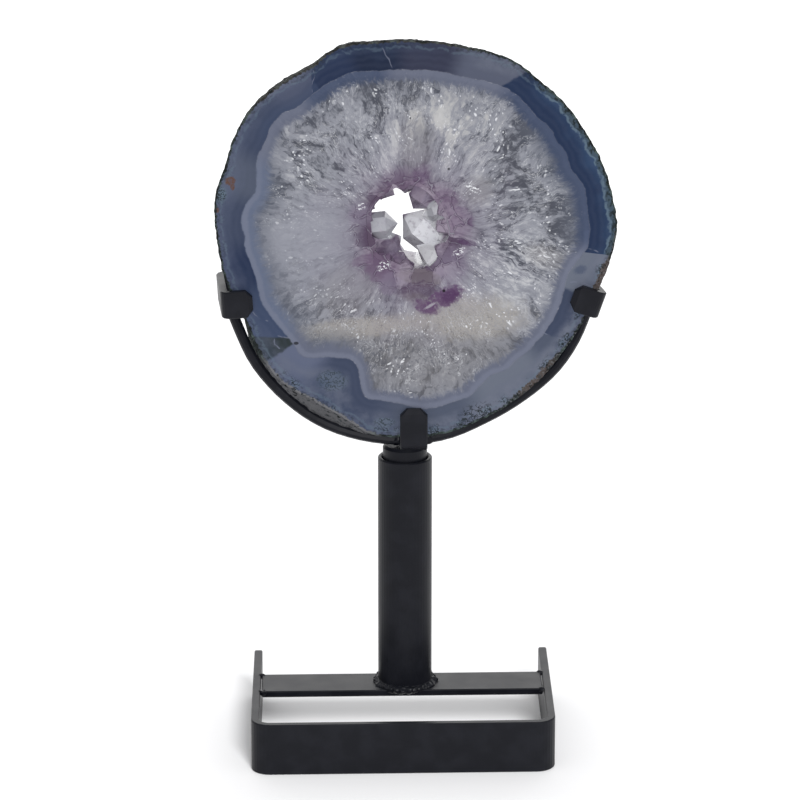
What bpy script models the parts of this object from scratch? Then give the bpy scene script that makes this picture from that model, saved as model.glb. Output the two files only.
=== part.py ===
"""Amethyst slice held upright in a welded steel cradle that turns in its post.

Metres, +Z up. X runs to the right and Y to the back, as seen from the slice's polished face.
The origin is on the floor, at the centre of the whole object's bounding box. Angles round the
slice are measured from +X towards +Z, about the middle of its hollow.
"""
import math

import bmesh
import bpy
from mathutils import Matrix, Vector, noise

MM = 0.001
GAP = 0.3 * MM

# Slice: where its hollow's middle is, and how thick it was sawn
SLICE_FROM_POST_X = 1.5 * MM
SLICE_Z = 197.1 * MM
SLICE_THICKNESS = 23.5 * MM
RIM_SIDES = 120
# Radius of the polished face's rim every 10 degrees, in millimetres
FACE_RADII = (
    74.6, 74.1, 73.4, 72.7, 72.6, 72.2, 72.8, 71.1, 70.5, 70.5, 71.0, 72.9,
    70.8, 71.9, 73.0, 72.5, 70.8, 71.4, 69.9, 69.3, 69.0, 68.2, 71.2, 73.0,
    72.6, 73.8, 77.9, 77.9, 77.3, 75.9, 74.7, 73.4, 72.1, 71.6, 71.3, 73.2,
)
# How far the skin stands out past the face's rim every 15 degrees, in millimetres
GIRDLE_DEPTH = 9.5 * MM
GIRDLE_FLARE = (
    -2.3, -2.1, -1.8, -1.9, -2.0, -2.0, -2.0, -1.8, -1.6, -1.3, -1.0, -0.8,
    -0.6, -0.3, 0.8, 3.6, 6.0, 4.6, 1.0, 2.2, 2.4, 1.0, -2.0, -2.5,
)
BACK_FLARE = (
    -5.8, -5.4, -5.0, -5.2, -5.4, -5.4, -5.4, -5.2, -5.0, -4.4, -3.4, -2.1,
    -0.8, 0.2, 2.2, 6.0, 8.8, 6.8, -0.6, 0.4, -1.6, -3.0, -5.2, -6.1,
)
SKIN_DEPTHS = (0.0, 1.6 * MM, 5.0 * MM, 9.5 * MM, 13.5 * MM, 17.5 * MM, 21.0 * MM, 23.5 * MM)
# Roughness of the skin: height, grain a metre, octaves, and what part of it is worn off at the rim
SKIN_ROUGHNESS = 0.45 * MM
SKIN_GRAIN = 130.0
SKIN_OCTAVES = 3
RIM_WEAR = 0.5

# Hollow, lined by the crystal crust: its radius every 30 degrees, in millimetres
HOLLOW_RADII = (16.2, 15.0, 17.2, 19.4, 18.6, 17.8, 15.8, 16.4, 14.6, 15.4, 16.8, 14.8)
HOLLOW_SIDES = 36
CRUST_THICKNESS = 1.6 * MM

# Crystals of the crust: tip right and up of the middle, tip depth behind the face, heading
# from the tip to the root, lean to the back, apex half angle in degrees, and half width
CRYSTAL_SIDES = 6
CRYSTAL_BODY = 9.0 * MM
CRYSTAL_ROLL_PER_MM = math.radians(17.0)
CRYSTALS = (
    (1.2, 7.0, 6.0, 54.0, 6.0, 56.0, 5.4),
    (4.5, 3.5, 9.0, 14.0, 12.0, 52.0, 4.6),
    (2.4, -7.0, 7.0, -29.0, -4.0, 42.0, 5.6),
    (-2.2, -8.8, 5.0, -125.0, 8.0, 62.0, 5.2),
    (-2.9, -3.7, 8.0, 208.0, -8.0, 54.0, 4.6),
    (-4.3, 1.6, 6.0, 187.0, 4.0, 50.0, 5.0),
    (-5.3, 11.4, 9.0, 151.0, 8.0, 48.0, 4.2),
    (-1.8, 12.4, 7.0, 82.0, -6.0, 50.0, 3.4),
    (-2.3, 2.7, 14.5, -40.0, 4.0, 50.0, 6.8),
    (7.4, 1.6, 4.0, 2.0, -14.0, 50.0, 3.8),
    (6.6, -8.2, 15.0, -48.0, 10.0, 46.0, 4.0),
)
# Smaller crystals between them: depth of each row, how many, and the share of a step it is turned
FILL_ROWS = ((1.2 * MM, 11, 0.0), (11.0 * MM, 10, 0.3), (22.0 * MM, 11, 0.6))
FILL_HALF_WIDTH = 3.6 * MM
FILL_STANDS_IN = 4.14 * MM
FILL_APEX = math.radians(50.0)
# How far chance widens them, moves them in, and turns them
FILL_WIDTH_CHANCE = 0.4
FILL_STANDS_CHANCE = 3.2 * MM
FILL_SWING = 0.5
FILL_LEAN = 0.25
FILL_ROLL = 3.0

# Cradle: flat steel claws, round rods between them, and the pin below
CLAW_WIDTH = 10.0 * MM
CLAW_THICKNESS = 3.0 * MM
CLAW_BEND = 3.4 * MM
CLAW_INNER_BEND = 0.5 * MM
CLAW_BEND_STEPS = 5
CLAW_INNER_STEPS = 2
CLAW_TIP_CHAMFER = 1.8 * MM
CLAW_TIP_HEIGHT = 1.65 * MM
CLAW_CORNER = 2.4 * MM
# The skin is measured at this many angles, out to this far beside a claw
CLAW_SAMPLES = 360
CLAW_MARGIN = 0.6 * MM
# Direction of each claw, its distance beside that line, its front finger, and how far its back stands out
LEFT_CLAW = {"angle": math.radians(183.5), "offset": 22.3 * MM, "finger": 11.6 * MM, "splay": 1.6 * MM}
RIGHT_CLAW = {"angle": math.radians(-19.0), "offset": -3.8 * MM, "finger": 11.6 * MM, "splay": -5.9 * MM}
BOTTOM_CLAW = {"angle": math.radians(270.0), "offset": 1.3 * MM, "finger": 16.2 * MM, "splay": 0.0}
BACK_FINGER = 9.0 * MM
ROD_RADIUS = 2.0 * MM
ROD_BEHIND_FACE = 9.5 * MM
# The skin stays clear of the rods from this far behind the face, and swells out again behind them
ROD_CLEARANCE = 0.55 * MM
ROD_CLEARED_FROM = 4.75 * MM
SWELL_BEHIND_ROD = 0.39
ROD_SIDES_RESOLUTION = 3
# Radius in millimetres of the rods' centre line by angle in degrees, and where each rod runs
ROD_LINE = (
    (205.0, 72.0), (213.0, 73.5), (222.0, 76.2), (233.0, 78.6), (246.0, 81.0), (257.0, 81.7), (270.0, 81.6),
    (280.0, 80.8), (290.0, 78.8), (302.0, 77.4), (314.0, 76.5), (323.0, 74.9), (335.0, 72.4),
)
LEFT_ROD = (207.8, 266.9)
RIGHT_ROD = (275.0, 333.2)
ROD_POINTS = 20

SPIGOT_RADIUS = 8.2 * MM
SPIGOT_CHAMFER = 1.0 * MM
WELD_PAD_RADIUS = 4.2 * MM
WELD_PAD_SIDES = 16
WELD_PAD_BITE = 1.0 * MM
POST_RADIUS = 10.0 * MM
POST_WALL = 1.5 * MM
POST_TOP = 108.4 * MM
# The weld round the post's foot: how far it stands out at three heights
POST_WELD = ((0.0, 1.3 * MM), (0.5 * MM, 0.7 * MM), (1.5 * MM, 0.0))
POST_SIDES = 48

# Base: a U of flat bar on edge, and a flat bar lying across it under the post
BASE_FROM_POST_X = -1.2 * MM
BASE_WIDTH = 111.8 * MM
BASE_DEPTH = 80.0 * MM
BASE_HEIGHT = 19.6 * MM
BAR_THICKNESS = 3.0 * MM
BASE_CORNER = 7.0 * MM
CORNER_STEPS = 8
# The bent bar came out a little off square: how far its arms run right for each length they run back
OUT_OF_SQUARE = 0.0166
# Rounding of the arms' upper rear corners
ARM_END_ROUND = 2.5 * MM
ARM_END_STEPS = 5
CROSS_BAR_WIDTH = 18.0 * MM
CROSS_BAR_THICKNESS = 2.5 * MM
CROSS_BAR_FROM_POST_Y = -0.5 * MM
EDGE_ROUND = 0.4 * MM
POST_Y = 3.7 * MM
SHARP_FROM = math.radians(35.0)
ROUNDED_FROM = math.radians(50.0)
SAME_PLACE = 0.01 * MM

FACE_Y = POST_Y - SLICE_THICKNESS / 2


def smooth_step(value):
    """Rise from 0 to 1 with flat ends."""
    value = min(max(value, 0.0), 1.0)
    return value * value * (3.0 - 2.0 * value)


def round_the_clock(values, angle):
    """Read a list of evenly spaced values round a turn on a smooth closed curve."""
    count = len(values)
    place = (angle / math.tau % 1.0) * count
    index = int(place)
    neighbours = [values[(index + step) % count] for step in (-1, 0, 1, 2)]
    return spline_step(*neighbours, place - index)


def spline_step(before, here, after, beyond, t):
    """A place between two values on a smooth curve through their neighbours."""
    slope = (after - before) * t
    bend = (2 * before - 5 * here + 4 * after - beyond) * t * t
    turn = (3 * here - before - 3 * after + beyond) * t ** 3
    return 0.5 * (2 * here + slope + bend + turn)


def rod_radius(degrees):
    """Centre line radius of the rods at an angle in degrees."""
    last = len(ROD_LINE) - 1
    index = 0
    while index < last - 1 and degrees > ROD_LINE[index + 1][0]:
        index += 1
    (start, low), (end, high) = ROD_LINE[index], ROD_LINE[index + 1]
    before = ROD_LINE[max(index - 1, 0)][1]
    beyond = ROD_LINE[min(index + 2, last)][1]
    return spline_step(before, low, high, beyond, (degrees - start) / (end - start)) * MM


def skin_radius(angle, depth):
    """Radius of the slice's outer skin at an angle, a depth behind the polished face."""
    rim = round_the_clock(FACE_RADII, angle)
    girdle = round_the_clock(GIRDLE_FLARE, angle)
    back = round_the_clock(BACK_FLARE, angle)
    towards_girdle = smooth_step(depth / GIRDLE_DEPTH)
    towards_back = smooth_step((depth - GIRDLE_DEPTH) / (SLICE_THICKNESS - GIRDLE_DEPTH))
    radius = (rim + girdle * towards_girdle + (back - girdle) * towards_back) * MM
    spot = Vector((math.cos(angle), 0.0, math.sin(angle))) * radius + Vector((0.0, depth, 0.0))
    rough = noise.fractal(spot * SKIN_GRAIN, 1.0, 2.0, SKIN_OCTAVES)
    radius += SKIN_ROUGHNESS * rough * (1.0 - RIM_WEAR * (1.0 - towards_girdle))
    degrees = math.degrees(angle) % 360.0
    if ROD_LINE[0][0] <= degrees <= ROD_LINE[-1][0] and depth > ROD_CLEARED_FROM:
        swell = SWELL_BEHIND_ROD * max(depth - ROD_BEHIND_FACE, 0.0)
        radius = min(radius, rod_radius(degrees) - ROD_RADIUS - ROD_CLEARANCE + swell)
    return radius


def circle_angles(count):
    """Even angles round a turn."""
    return [math.tau * side / count for side in range(count)]


def claw_reach(angle, offset, splay):
    """How far the slice's skin reaches in a claw's direction, under the claw's width.

    A splayed claw stands further out at its back, so the skin's reach there counts for less.
    """
    out = Vector((math.cos(angle), math.sin(angle)))
    side = Vector((-math.sin(angle), math.cos(angle)))
    half = CLAW_WIDTH / 2 + CLAW_MARGIN
    reach = 0.0
    for a in circle_angles(CLAW_SAMPLES):
        for depth in SKIN_DEPTHS:
            spot = Vector((math.cos(a), math.sin(a))) * skin_radius(a, depth)
            if abs(spot.dot(side) - offset) < half and spot.dot(out) > 0.0:
                reach = max(reach, spot.dot(out) - splay * depth / SLICE_THICKNESS)
    return reach


def arc(center, radius, start, end, steps):
    """Points on an arc, in degrees."""
    turns = [math.radians(start + (end - start) * step / steps) for step in range(steps + 1)]
    return [(center[0] + radius * math.cos(t), center[1] + radius * math.sin(t)) for t in turns]


def splayed(out, depth, splay):
    """How far out a claw's point comes when the claw leans along the skin."""
    return out + splay * max(depth, 0.0) / SLICE_THICKNESS


def claw_profile(reach, finger):
    """Side outline of a claw: U of flat steel round the slab's edge, from reach outwards."""
    inner = reach + GAP
    outer = inner + CLAW_THICKNESS
    front = -GAP
    back = SLICE_THICKNESS + GAP
    front_out = front - CLAW_THICKNESS
    back_out = back + CLAW_THICKNESS
    tip = outer - finger
    back_tip = outer - BACK_FINGER
    middle = outer - CLAW_BEND
    corner = inner - CLAW_INNER_BEND
    points = [(tip, front), (tip, front_out + CLAW_TIP_HEIGHT), (tip + CLAW_TIP_CHAMFER, front_out)]
    points += arc((middle, front_out + CLAW_BEND), CLAW_BEND, 270.0, 360.0, CLAW_BEND_STEPS)
    points += arc((middle, back_out - CLAW_BEND), CLAW_BEND, 0.0, 90.0, CLAW_BEND_STEPS)
    points += [(back_tip + CLAW_TIP_CHAMFER, back_out), (back_tip, back_out - CLAW_TIP_HEIGHT)]
    points.append((back_tip, back))
    points += arc((corner, back - CLAW_INNER_BEND), CLAW_INNER_BEND, 90.0, 0.0, CLAW_INNER_STEPS)
    points += arc((corner, front + CLAW_INNER_BEND), CLAW_INNER_BEND, 0.0, -90.0, CLAW_INNER_STEPS)
    return points


def slice_middle_x():
    """X of the hollow's middle that centres the slice and its left claw on X = 0."""
    across = [skin_radius(a, depth) * math.cos(a) for depth in SKIN_DEPTHS for a in circle_angles(RIM_SIDES)]
    angle = LEFT_CLAW["angle"]
    side = LEFT_CLAW["offset"] + CLAW_WIDTH / 2
    splay = LEFT_CLAW["splay"]
    reach = claw_reach(angle, LEFT_CLAW["offset"], splay)
    profile = [splayed(s, y, splay) for s, y in claw_profile(reach, LEFT_CLAW["finger"])]
    across += [s * math.cos(angle) - side * math.sin(angle) for s in profile]
    across += [s * math.cos(angle) - (side - CLAW_WIDTH) * math.sin(angle) for s in profile]
    return -(max(across) + min(across)) / 2


SLICE_X = slice_middle_x()
POST_X = SLICE_X - SLICE_FROM_POST_X
BASE_X = POST_X + BASE_FROM_POST_X


def on_slice(angle, radius, depth):
    """World place of a point given round the slice's middle."""
    x = SLICE_X + radius * math.cos(angle)
    z = SLICE_Z + radius * math.sin(angle)
    return Vector((x, FACE_Y + depth, z))


def hollow_radius(angle):
    """Radius of the slab's hollow, which reaches furthest at the top."""
    return round_the_clock(HOLLOW_RADII, angle) * MM


def clear_scene():
    """Remove every object of the file."""
    for item in list(bpy.data.objects):
        bpy.data.objects.remove(item, do_unlink=True)


def make_collection(name):
    """Make a collection in the scene."""
    collection = bpy.data.collections.new(name)
    bpy.context.scene.collection.children.link(collection)
    return collection


def make_material(name, color, roughness, metallic=0.0):
    """Make a Principled material."""
    material = bpy.data.materials.new(name)
    material.use_nodes = True
    shader = material.node_tree.nodes["Principled BSDF"]
    shader.inputs["Base Color"].default_value = (*color, 1.0)
    shader.inputs["Roughness"].default_value = roughness
    shader.inputs["Metallic"].default_value = metallic
    return material


def make_object(name, data, collection, material=None):
    """Link an object with one material."""
    item = bpy.data.objects.new(name, data)
    collection.objects.link(item)
    if material is not None:
        data.materials.append(material)
    return item


def mesh_from(name, bm):
    """Turn a bmesh into a mesh with its faces pointing out."""
    bmesh.ops.recalc_face_normals(bm, faces=bm.faces)
    mesh = bpy.data.meshes.new(name)
    bm.to_mesh(mesh)
    bm.free()
    return mesh


def mark_as_cutter(item):
    """Show a helper shape as wire and keep it out of renders."""
    item.hide_render = True
    item.display_type = "WIRE"


def round_edges(item):
    """Break an object's sharp edges a little."""
    bevel = item.modifiers.new("softened edges", "BEVEL")
    bevel.width = EDGE_ROUND
    bevel.segments = 1
    bevel.limit_method = "ANGLE"
    bevel.angle_limit = ROUNDED_FROM


def add_ring(bm, points):
    """Add a closed loop of vertices and its edges."""
    ring = [bm.verts.new(point) for point in points]
    edges = [bm.edges.new((ring[i - 1], ring[i])) for i in range(len(ring))]
    return ring, edges


def bridge(bm, rings):
    """Join loops of equal count with quads."""
    for (low, _), (high, _) in zip(rings, rings[1:]):
        for i in range(len(low)):
            bm.faces.new((low[i - 1], low[i], high[i], high[i - 1]))


def ring_plate(name, outer_rings, inner_rings):
    """Loft a plate with a hole: outer skin, hole wall, and the two flat faces between them."""
    bm = bmesh.new()
    outer = [add_ring(bm, points) for points in outer_rings]
    inner = [add_ring(bm, points) for points in inner_rings]
    bridge(bm, outer)
    bridge(bm, inner)
    for end in (0, -1):
        bmesh.ops.triangle_fill(bm, use_beauty=True, edges=outer[end][1] + inner[end][1])
    return mesh_from(name, bm)


def build_slice(parts, material):
    """The slab: rough skin, flat faces, and the wall of its hollow."""
    rim = circle_angles(RIM_SIDES)
    hole = circle_angles(HOLLOW_SIDES)
    outer = [[on_slice(a, skin_radius(a, depth), depth) for a in rim] for depth in SKIN_DEPTHS]
    inner = [[on_slice(a, hollow_radius(a), d) for a in hole] for d in (0.0, SLICE_THICKNESS)]
    item = make_object("slice", ring_plate("slice", outer, inner), parts, material)
    item.data.set_sharp_from_angle(angle=SHARP_FROM)


def crystal_mesh(bm, tip, heading, half_width, apex_half_angle, roll):
    """A six-sided crystal with its pointed end at tip, rooted in the direction of heading."""
    tip_height = half_width / math.tan(apex_half_angle)
    made = bmesh.ops.create_cone(
        bm, cap_ends=True, segments=CRYSTAL_SIDES, radius1=half_width, radius2=half_width, depth=CRYSTAL_BODY)
    verts = made["verts"]
    top = max(bm.faces, key=lambda face: face.calc_center_median().z)
    point = bmesh.ops.poke(bm, faces=[top])["verts"][0]
    point.co.z = CRYSTAL_BODY / 2 + tip_height
    turn = (-heading).to_track_quat("Z", "Y").to_matrix().to_4x4()
    lower = Matrix.Translation((0.0, 0.0, -point.co.z))
    place = Matrix.Translation(tip) @ turn @ Matrix.Rotation(roll, 4, "Z") @ lower
    bmesh.ops.transform(bm, matrix=place, verts=verts + [point])


def crust_crystals():
    """Every crystal of the crust: tip, heading, half width, apex half angle and roll."""
    for right, up, depth, heading, lean, apex, half_width in CRYSTALS:
        tip = Vector((SLICE_X + right * MM, FACE_Y + depth * MM, SLICE_Z + up * MM))
        angle = math.radians(heading)
        tilt = math.radians(lean)
        level = math.cos(tilt)
        root = Vector((math.cos(angle) * level, math.sin(tilt), math.sin(angle) * level))
        yield tip, root, half_width * MM, math.radians(apex), depth * CRYSTAL_ROLL_PER_MM
    for depth, count, shift in FILL_ROWS:
        for index in range(count):
            angle = math.tau * (index + shift) / count
            wander = noise.noise(Vector((index * 1.7, depth / MM, 3.1)))
            radius = hollow_radius(angle) - FILL_STANDS_IN - FILL_STANDS_CHANCE * wander
            swing = angle + FILL_SWING * wander
            root = Vector((math.cos(swing), FILL_LEAN * wander, math.sin(swing))).normalized()
            half_width = FILL_HALF_WIDTH * (1.0 - FILL_WIDTH_CHANCE * wander)
            yield on_slice(angle, radius, depth), root, half_width, FILL_APEX, FILL_ROLL * wander


def build_crust(parts, cutters, material):
    """The crust: crystals grown together on a thin wall, sawn flush with both faces."""
    outline = [(a, hollow_radius(a) - GAP) for a in circle_angles(HOLLOW_SIDES)]
    faces = (0.0, SLICE_THICKNESS)
    wall_outer = [[on_slice(a, r, depth) for a, r in outline] for depth in faces]
    wall_inner = [[on_slice(a, r - CRUST_THICKNESS, depth) for a, r in outline] for depth in faces]
    crust = make_object("crystal_crust", ring_plate("crystal_crust", wall_outer, wall_inner), parts, material)

    grown = bpy.data.collections.new("crust_crystals")
    cutters.children.link(grown)
    for number, (tip, root, half_width, apex, roll) in enumerate(crust_crystals()):
        bm = bmesh.new()
        crystal_mesh(bm, tip, root, half_width, apex, roll)
        mark_as_cutter(make_object(f"crystal_{number}", mesh_from("crystal", bm), grown))

    bm = bmesh.new()
    sawn = [add_ring(bm, points) for points in wall_outer]
    bridge(bm, sawn)
    for ring, _ in sawn:
        bm.faces.new(ring)
    stock = make_object("sawn_stock", mesh_from("sawn_stock", bm), cutters)
    mark_as_cutter(stock)

    union = crust.modifiers.new("crystals", "BOOLEAN")
    union.operation = "UNION"
    union.operand_type = "COLLECTION"
    union.collection = grown
    union.solver = "EXACT"
    trim = crust.modifiers.new("sawn", "BOOLEAN")
    trim.operation = "INTERSECT"
    trim.object = stock
    trim.solver = "EXACT"


def build_claw(name, parts, material, angle, offset, finger, splay):
    """A claw: the U outline across its width, with the finger tips' corners cut off."""
    reach = claw_reach(angle, offset, splay)
    profile = claw_profile(reach, finger)
    bm = bmesh.new()
    loops = [add_ring(bm, [(s, y, w * CLAW_WIDTH / 2) for s, y in profile]) for w in (-1.0, 1.0)]
    bridge(bm, loops)
    for ring, _ in loops:
        bm.faces.new(ring)
    tip = reach + GAP + CLAW_THICKNESS - finger
    for side in (-1.0, 1.0):
        corner = Vector((tip + CLAW_CORNER, 0.0, side * CLAW_WIDTH / 2))
        geometry = bm.verts[:] + bm.edges[:] + bm.faces[:]
        cut = bmesh.ops.bisect_plane(
            bm, geom=geometry, plane_co=corner, plane_no=Vector((-1.0, 0.0, side)), clear_outer=True)
        edges = [edge for edge in cut["geom_cut"] if isinstance(edge, bmesh.types.BMEdge)]
        bmesh.ops.holes_fill(bm, edges=edges, sides=0)
    for vert in bm.verts:
        vert.co.x = splayed(vert.co.x, vert.co.y, splay)
    out = Vector((math.cos(angle), 0.0, math.sin(angle)))
    side = Vector((-math.sin(angle), 0.0, math.cos(angle)))
    middle = Vector((SLICE_X, FACE_Y, SLICE_Z)) + side * offset
    columns = Matrix((out, Vector((0.0, 1.0, 0.0)), side)).transposed().to_4x4()
    bmesh.ops.transform(bm, matrix=Matrix.Translation(middle) @ columns, verts=bm.verts)
    round_edges(make_object(name, mesh_from(name, bm), parts, material))


def build_rod(name, parts, material, start, end):
    """A round rod along the slice's rim, cut to angles start and end in degrees."""
    curve = bpy.data.curves.new(name, "CURVE")
    curve.dimensions = "3D"
    curve.bevel_depth = ROD_RADIUS
    curve.bevel_resolution = ROD_SIDES_RESOLUTION
    curve.use_fill_caps = True
    spline = curve.splines.new("POLY")
    spline.points.add(ROD_POINTS - 1)
    for index, point in enumerate(spline.points):
        degrees = start + (end - start) * index / (ROD_POINTS - 1)
        place = on_slice(math.radians(degrees), rod_radius(degrees), ROD_BEHIND_FACE)
        point.co = (*place, 1.0)
    make_object(name, curve, parts, material)


def turned(name, parts, material, profile, place, closed):
    """A turned shape: a profile in (radius, height) run round the Z axis."""
    bm = bmesh.new()
    verts = [bm.verts.new((radius, 0.0, height)) for radius, height in profile]
    pairs = list(zip(verts, verts[1:]))
    if closed:
        pairs.append((verts[-1], verts[0]))
    for pair in pairs:
        bm.edges.new(pair)
    mesh = bpy.data.meshes.new(name)
    bm.to_mesh(mesh)
    bm.free()
    item = make_object(name, mesh, parts, material)
    item.location = place
    screw = item.modifiers.new("turned", "SCREW")
    screw.steps = POST_SIDES
    screw.render_steps = POST_SIDES
    screw.use_merge_vertices = True
    screw.merge_threshold = SAME_PLACE
    screw.use_smooth_shade = True
    return item


def build_post(parts, material):
    """The post: a tube whose foot flares into its weld."""
    inner = POST_RADIUS - POST_WALL
    foot = BASE_HEIGHT + GAP
    soft = EDGE_ROUND
    profile = [(inner + soft, POST_TOP), (POST_RADIUS - soft, POST_TOP), (POST_RADIUS, POST_TOP - soft)]
    profile += [(POST_RADIUS + flare, foot + height) for flare, height in POST_WELD]
    profile += [(inner, foot), (inner, POST_TOP - soft)]
    turned("post", parts, material, profile, (POST_X, POST_Y, 0.0), closed=True)


def build_spigot(parts, cutters, material, claw_underside):
    """The spigot: a pin that stands on the cross bar inside the post, with the cradle's weld on top."""
    foot = BASE_HEIGHT + GAP
    top = SLICE_Z - max(rod_radius(LEFT_ROD[1]), rod_radius(RIGHT_ROD[0])) - ROD_RADIUS - GAP
    soft = SPIGOT_CHAMFER
    profile = [
        (0.0, top),
        (SPIGOT_RADIUS - soft, top),
        (SPIGOT_RADIUS, top - soft),
        (SPIGOT_RADIUS, foot + soft),
        (SPIGOT_RADIUS - soft, foot),
        (0.0, foot),
    ]
    item = turned("spigot", parts, material, profile, (POST_X, POST_Y, 0.0), closed=False)
    height = claw_underside - GAP - top + WELD_PAD_BITE
    bm = bmesh.new()
    size = {"radius1": WELD_PAD_RADIUS, "radius2": WELD_PAD_RADIUS, "depth": height}
    bmesh.ops.create_cone(bm, cap_ends=True, segments=WELD_PAD_SIDES, **size)
    pad = make_object("weld_pad", mesh_from("weld_pad", bm), cutters)
    pad.location = (SLICE_X + BOTTOM_CLAW["offset"], POST_Y, claw_underside - GAP - height / 2)
    mark_as_cutter(pad)
    weld = item.modifiers.new("weld pad", "BOOLEAN")
    weld.operation = "UNION"
    weld.object = pad
    weld.solver = "EXACT"


def upright_prism(outline):
    """The base's height of a flat outline, leaning off square as the bent bar does."""
    bm = bmesh.new()
    loops = [add_ring(bm, [(x + OUT_OF_SQUARE * y, y, z) for x, y in outline]) for z in (0.0, BASE_HEIGHT)]
    bridge(bm, loops)
    for ring, _ in loops:
        bm.faces.new(ring)
    return bm


def build_base_frame(parts, cutters, material):
    """The base: flat bar on edge, bent to a U that is open at the back."""
    half = BASE_WIDTH / 2
    front = -BASE_DEPTH / 2
    back = BASE_DEPTH / 2
    centers = ((-half + BASE_CORNER, front + BASE_CORNER), (half - BASE_CORNER, front + BASE_CORNER))
    inner = BASE_CORNER - BAR_THICKNESS
    outline = [(-half, back)]
    outline += arc(centers[0], BASE_CORNER, 180.0, 270.0, CORNER_STEPS)
    outline += arc(centers[1], BASE_CORNER, 270.0, 360.0, CORNER_STEPS)
    outline += [(half, back), (half - BAR_THICKNESS, back)]
    outline += arc(centers[1], inner, 360.0, 270.0, CORNER_STEPS)
    outline += arc(centers[0], inner, 270.0, 180.0, CORNER_STEPS)
    outline += [(-half + BAR_THICKNESS, back)]
    item = make_object("base_frame", mesh_from("base_frame", upright_prism(outline)), parts, material)
    item.location = (BASE_X, 0.0, 0.0)

    rounding = arc((back - ARM_END_ROUND, BASE_HEIGHT - ARM_END_ROUND), ARM_END_ROUND, 0.0, 90.0, ARM_END_STEPS)
    corner = [*rounding, (back - ARM_END_ROUND, BASE_HEIGHT + GAP), (back + GAP, BASE_HEIGHT + GAP)]
    corner.append((back + GAP, BASE_HEIGHT - ARM_END_ROUND))
    bm = bmesh.new()
    loops = [add_ring(bm, [(side * BASE_WIDTH, y, z) for y, z in corner]) for side in (-1.0, 1.0)]
    bridge(bm, loops)
    for ring, _ in loops:
        bm.faces.new(ring)
    cutter = make_object("arm_ends", mesh_from("arm_ends", bm), cutters)
    cutter.location = item.location
    mark_as_cutter(cutter)
    ends = item.modifiers.new("rounded ends", "BOOLEAN")
    ends.operation = "DIFFERENCE"
    ends.object = cutter
    ends.solver = "EXACT"
    round_edges(item)


def build_cross_bar(parts, material):
    """The bar under the post, lying flush with the top of the base's side arms."""
    length = BASE_WIDTH - 2 * BAR_THICKNESS - 2 * GAP - OUT_OF_SQUARE * CROSS_BAR_WIDTH
    bm = bmesh.new()
    bmesh.ops.create_cube(bm, size=1.0)
    bmesh.ops.scale(bm, vec=(length, CROSS_BAR_WIDTH, CROSS_BAR_THICKNESS), verts=bm.verts)
    item = make_object("cross_bar", mesh_from("cross_bar", bm), parts, material)
    middle = POST_Y + CROSS_BAR_FROM_POST_Y
    item.location = (BASE_X + OUT_OF_SQUARE * middle, middle, BASE_HEIGHT - CROSS_BAR_THICKNESS / 2)
    round_edges(item)


def build_cradle(parts, cutters, material):
    """The cradle: three claws, the rods between them, and the spigot below."""
    build_claw("left_claw", parts, material, **LEFT_CLAW)
    build_claw("right_claw", parts, material, **RIGHT_CLAW)
    build_claw("bottom_claw", parts, material, **BOTTOM_CLAW)
    build_rod("left_rod", parts, material, *LEFT_ROD)
    build_rod("right_rod", parts, material, *RIGHT_ROD)
    under_slice = claw_reach(BOTTOM_CLAW["angle"], BOTTOM_CLAW["offset"], 0.0) + GAP + CLAW_THICKNESS
    build_spigot(parts, cutters, material, SLICE_Z - under_slice)


def main():
    """Build the stone and its stand."""
    clear_scene()
    parts = make_collection("amethyst_slice")
    cutters = make_collection("cutters")
    stone = make_material("polished_agate_and_quartz", (0.36, 0.38, 0.46), 0.18)
    crystal = make_material("amethyst_crystal", (0.42, 0.33, 0.50), 0.08)
    steel = make_material("black_painted_steel", (0.02, 0.02, 0.023), 0.42)
    build_slice(parts, stone)
    build_crust(parts, cutters, crystal)
    build_cradle(parts, cutters, steel)
    build_post(parts, steel)
    build_cross_bar(parts, steel)
    build_base_frame(parts, cutters, steel)


main()
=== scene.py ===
"""A polished amethyst slice held upright by its black steel stand, in a pale studio."""
import functools
import logging
import math
import operator
from collections.abc import Iterable, Iterator, Sequence
from dataclasses import dataclass, field
from enum import Enum
from typing import Optional, Union

import bpy
import numpy as np
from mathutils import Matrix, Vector, noise


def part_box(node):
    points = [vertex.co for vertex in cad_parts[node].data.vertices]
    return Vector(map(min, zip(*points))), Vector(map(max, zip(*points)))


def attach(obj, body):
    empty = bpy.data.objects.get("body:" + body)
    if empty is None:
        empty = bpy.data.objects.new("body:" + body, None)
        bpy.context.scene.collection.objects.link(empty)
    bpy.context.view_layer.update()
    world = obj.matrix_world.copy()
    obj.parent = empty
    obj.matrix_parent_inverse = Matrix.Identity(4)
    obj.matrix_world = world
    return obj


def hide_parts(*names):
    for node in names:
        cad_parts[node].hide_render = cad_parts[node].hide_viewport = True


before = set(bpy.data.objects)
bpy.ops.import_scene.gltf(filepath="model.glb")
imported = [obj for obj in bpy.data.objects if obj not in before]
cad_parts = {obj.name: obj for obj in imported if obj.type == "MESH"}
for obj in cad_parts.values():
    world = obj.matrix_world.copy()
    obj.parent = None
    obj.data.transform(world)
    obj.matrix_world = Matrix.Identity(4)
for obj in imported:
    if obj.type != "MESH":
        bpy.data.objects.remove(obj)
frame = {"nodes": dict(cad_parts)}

MM = 0.001
FULL_TURN = 360.0
# What the studio's light multiplies an upright face's colour by, and the sheen that it adds
LIGHT_GAIN = 1.36
HAZE = 0.006
# How far a drawn line strays with the swirl, in millimetres, and how much of its width is full
LINE_STRAY = 5.0
LINE_CORE = 0.3
# Waves of a patch's ragged edge in its lesser half size
EDGE_WAVES = 2.4
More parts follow.
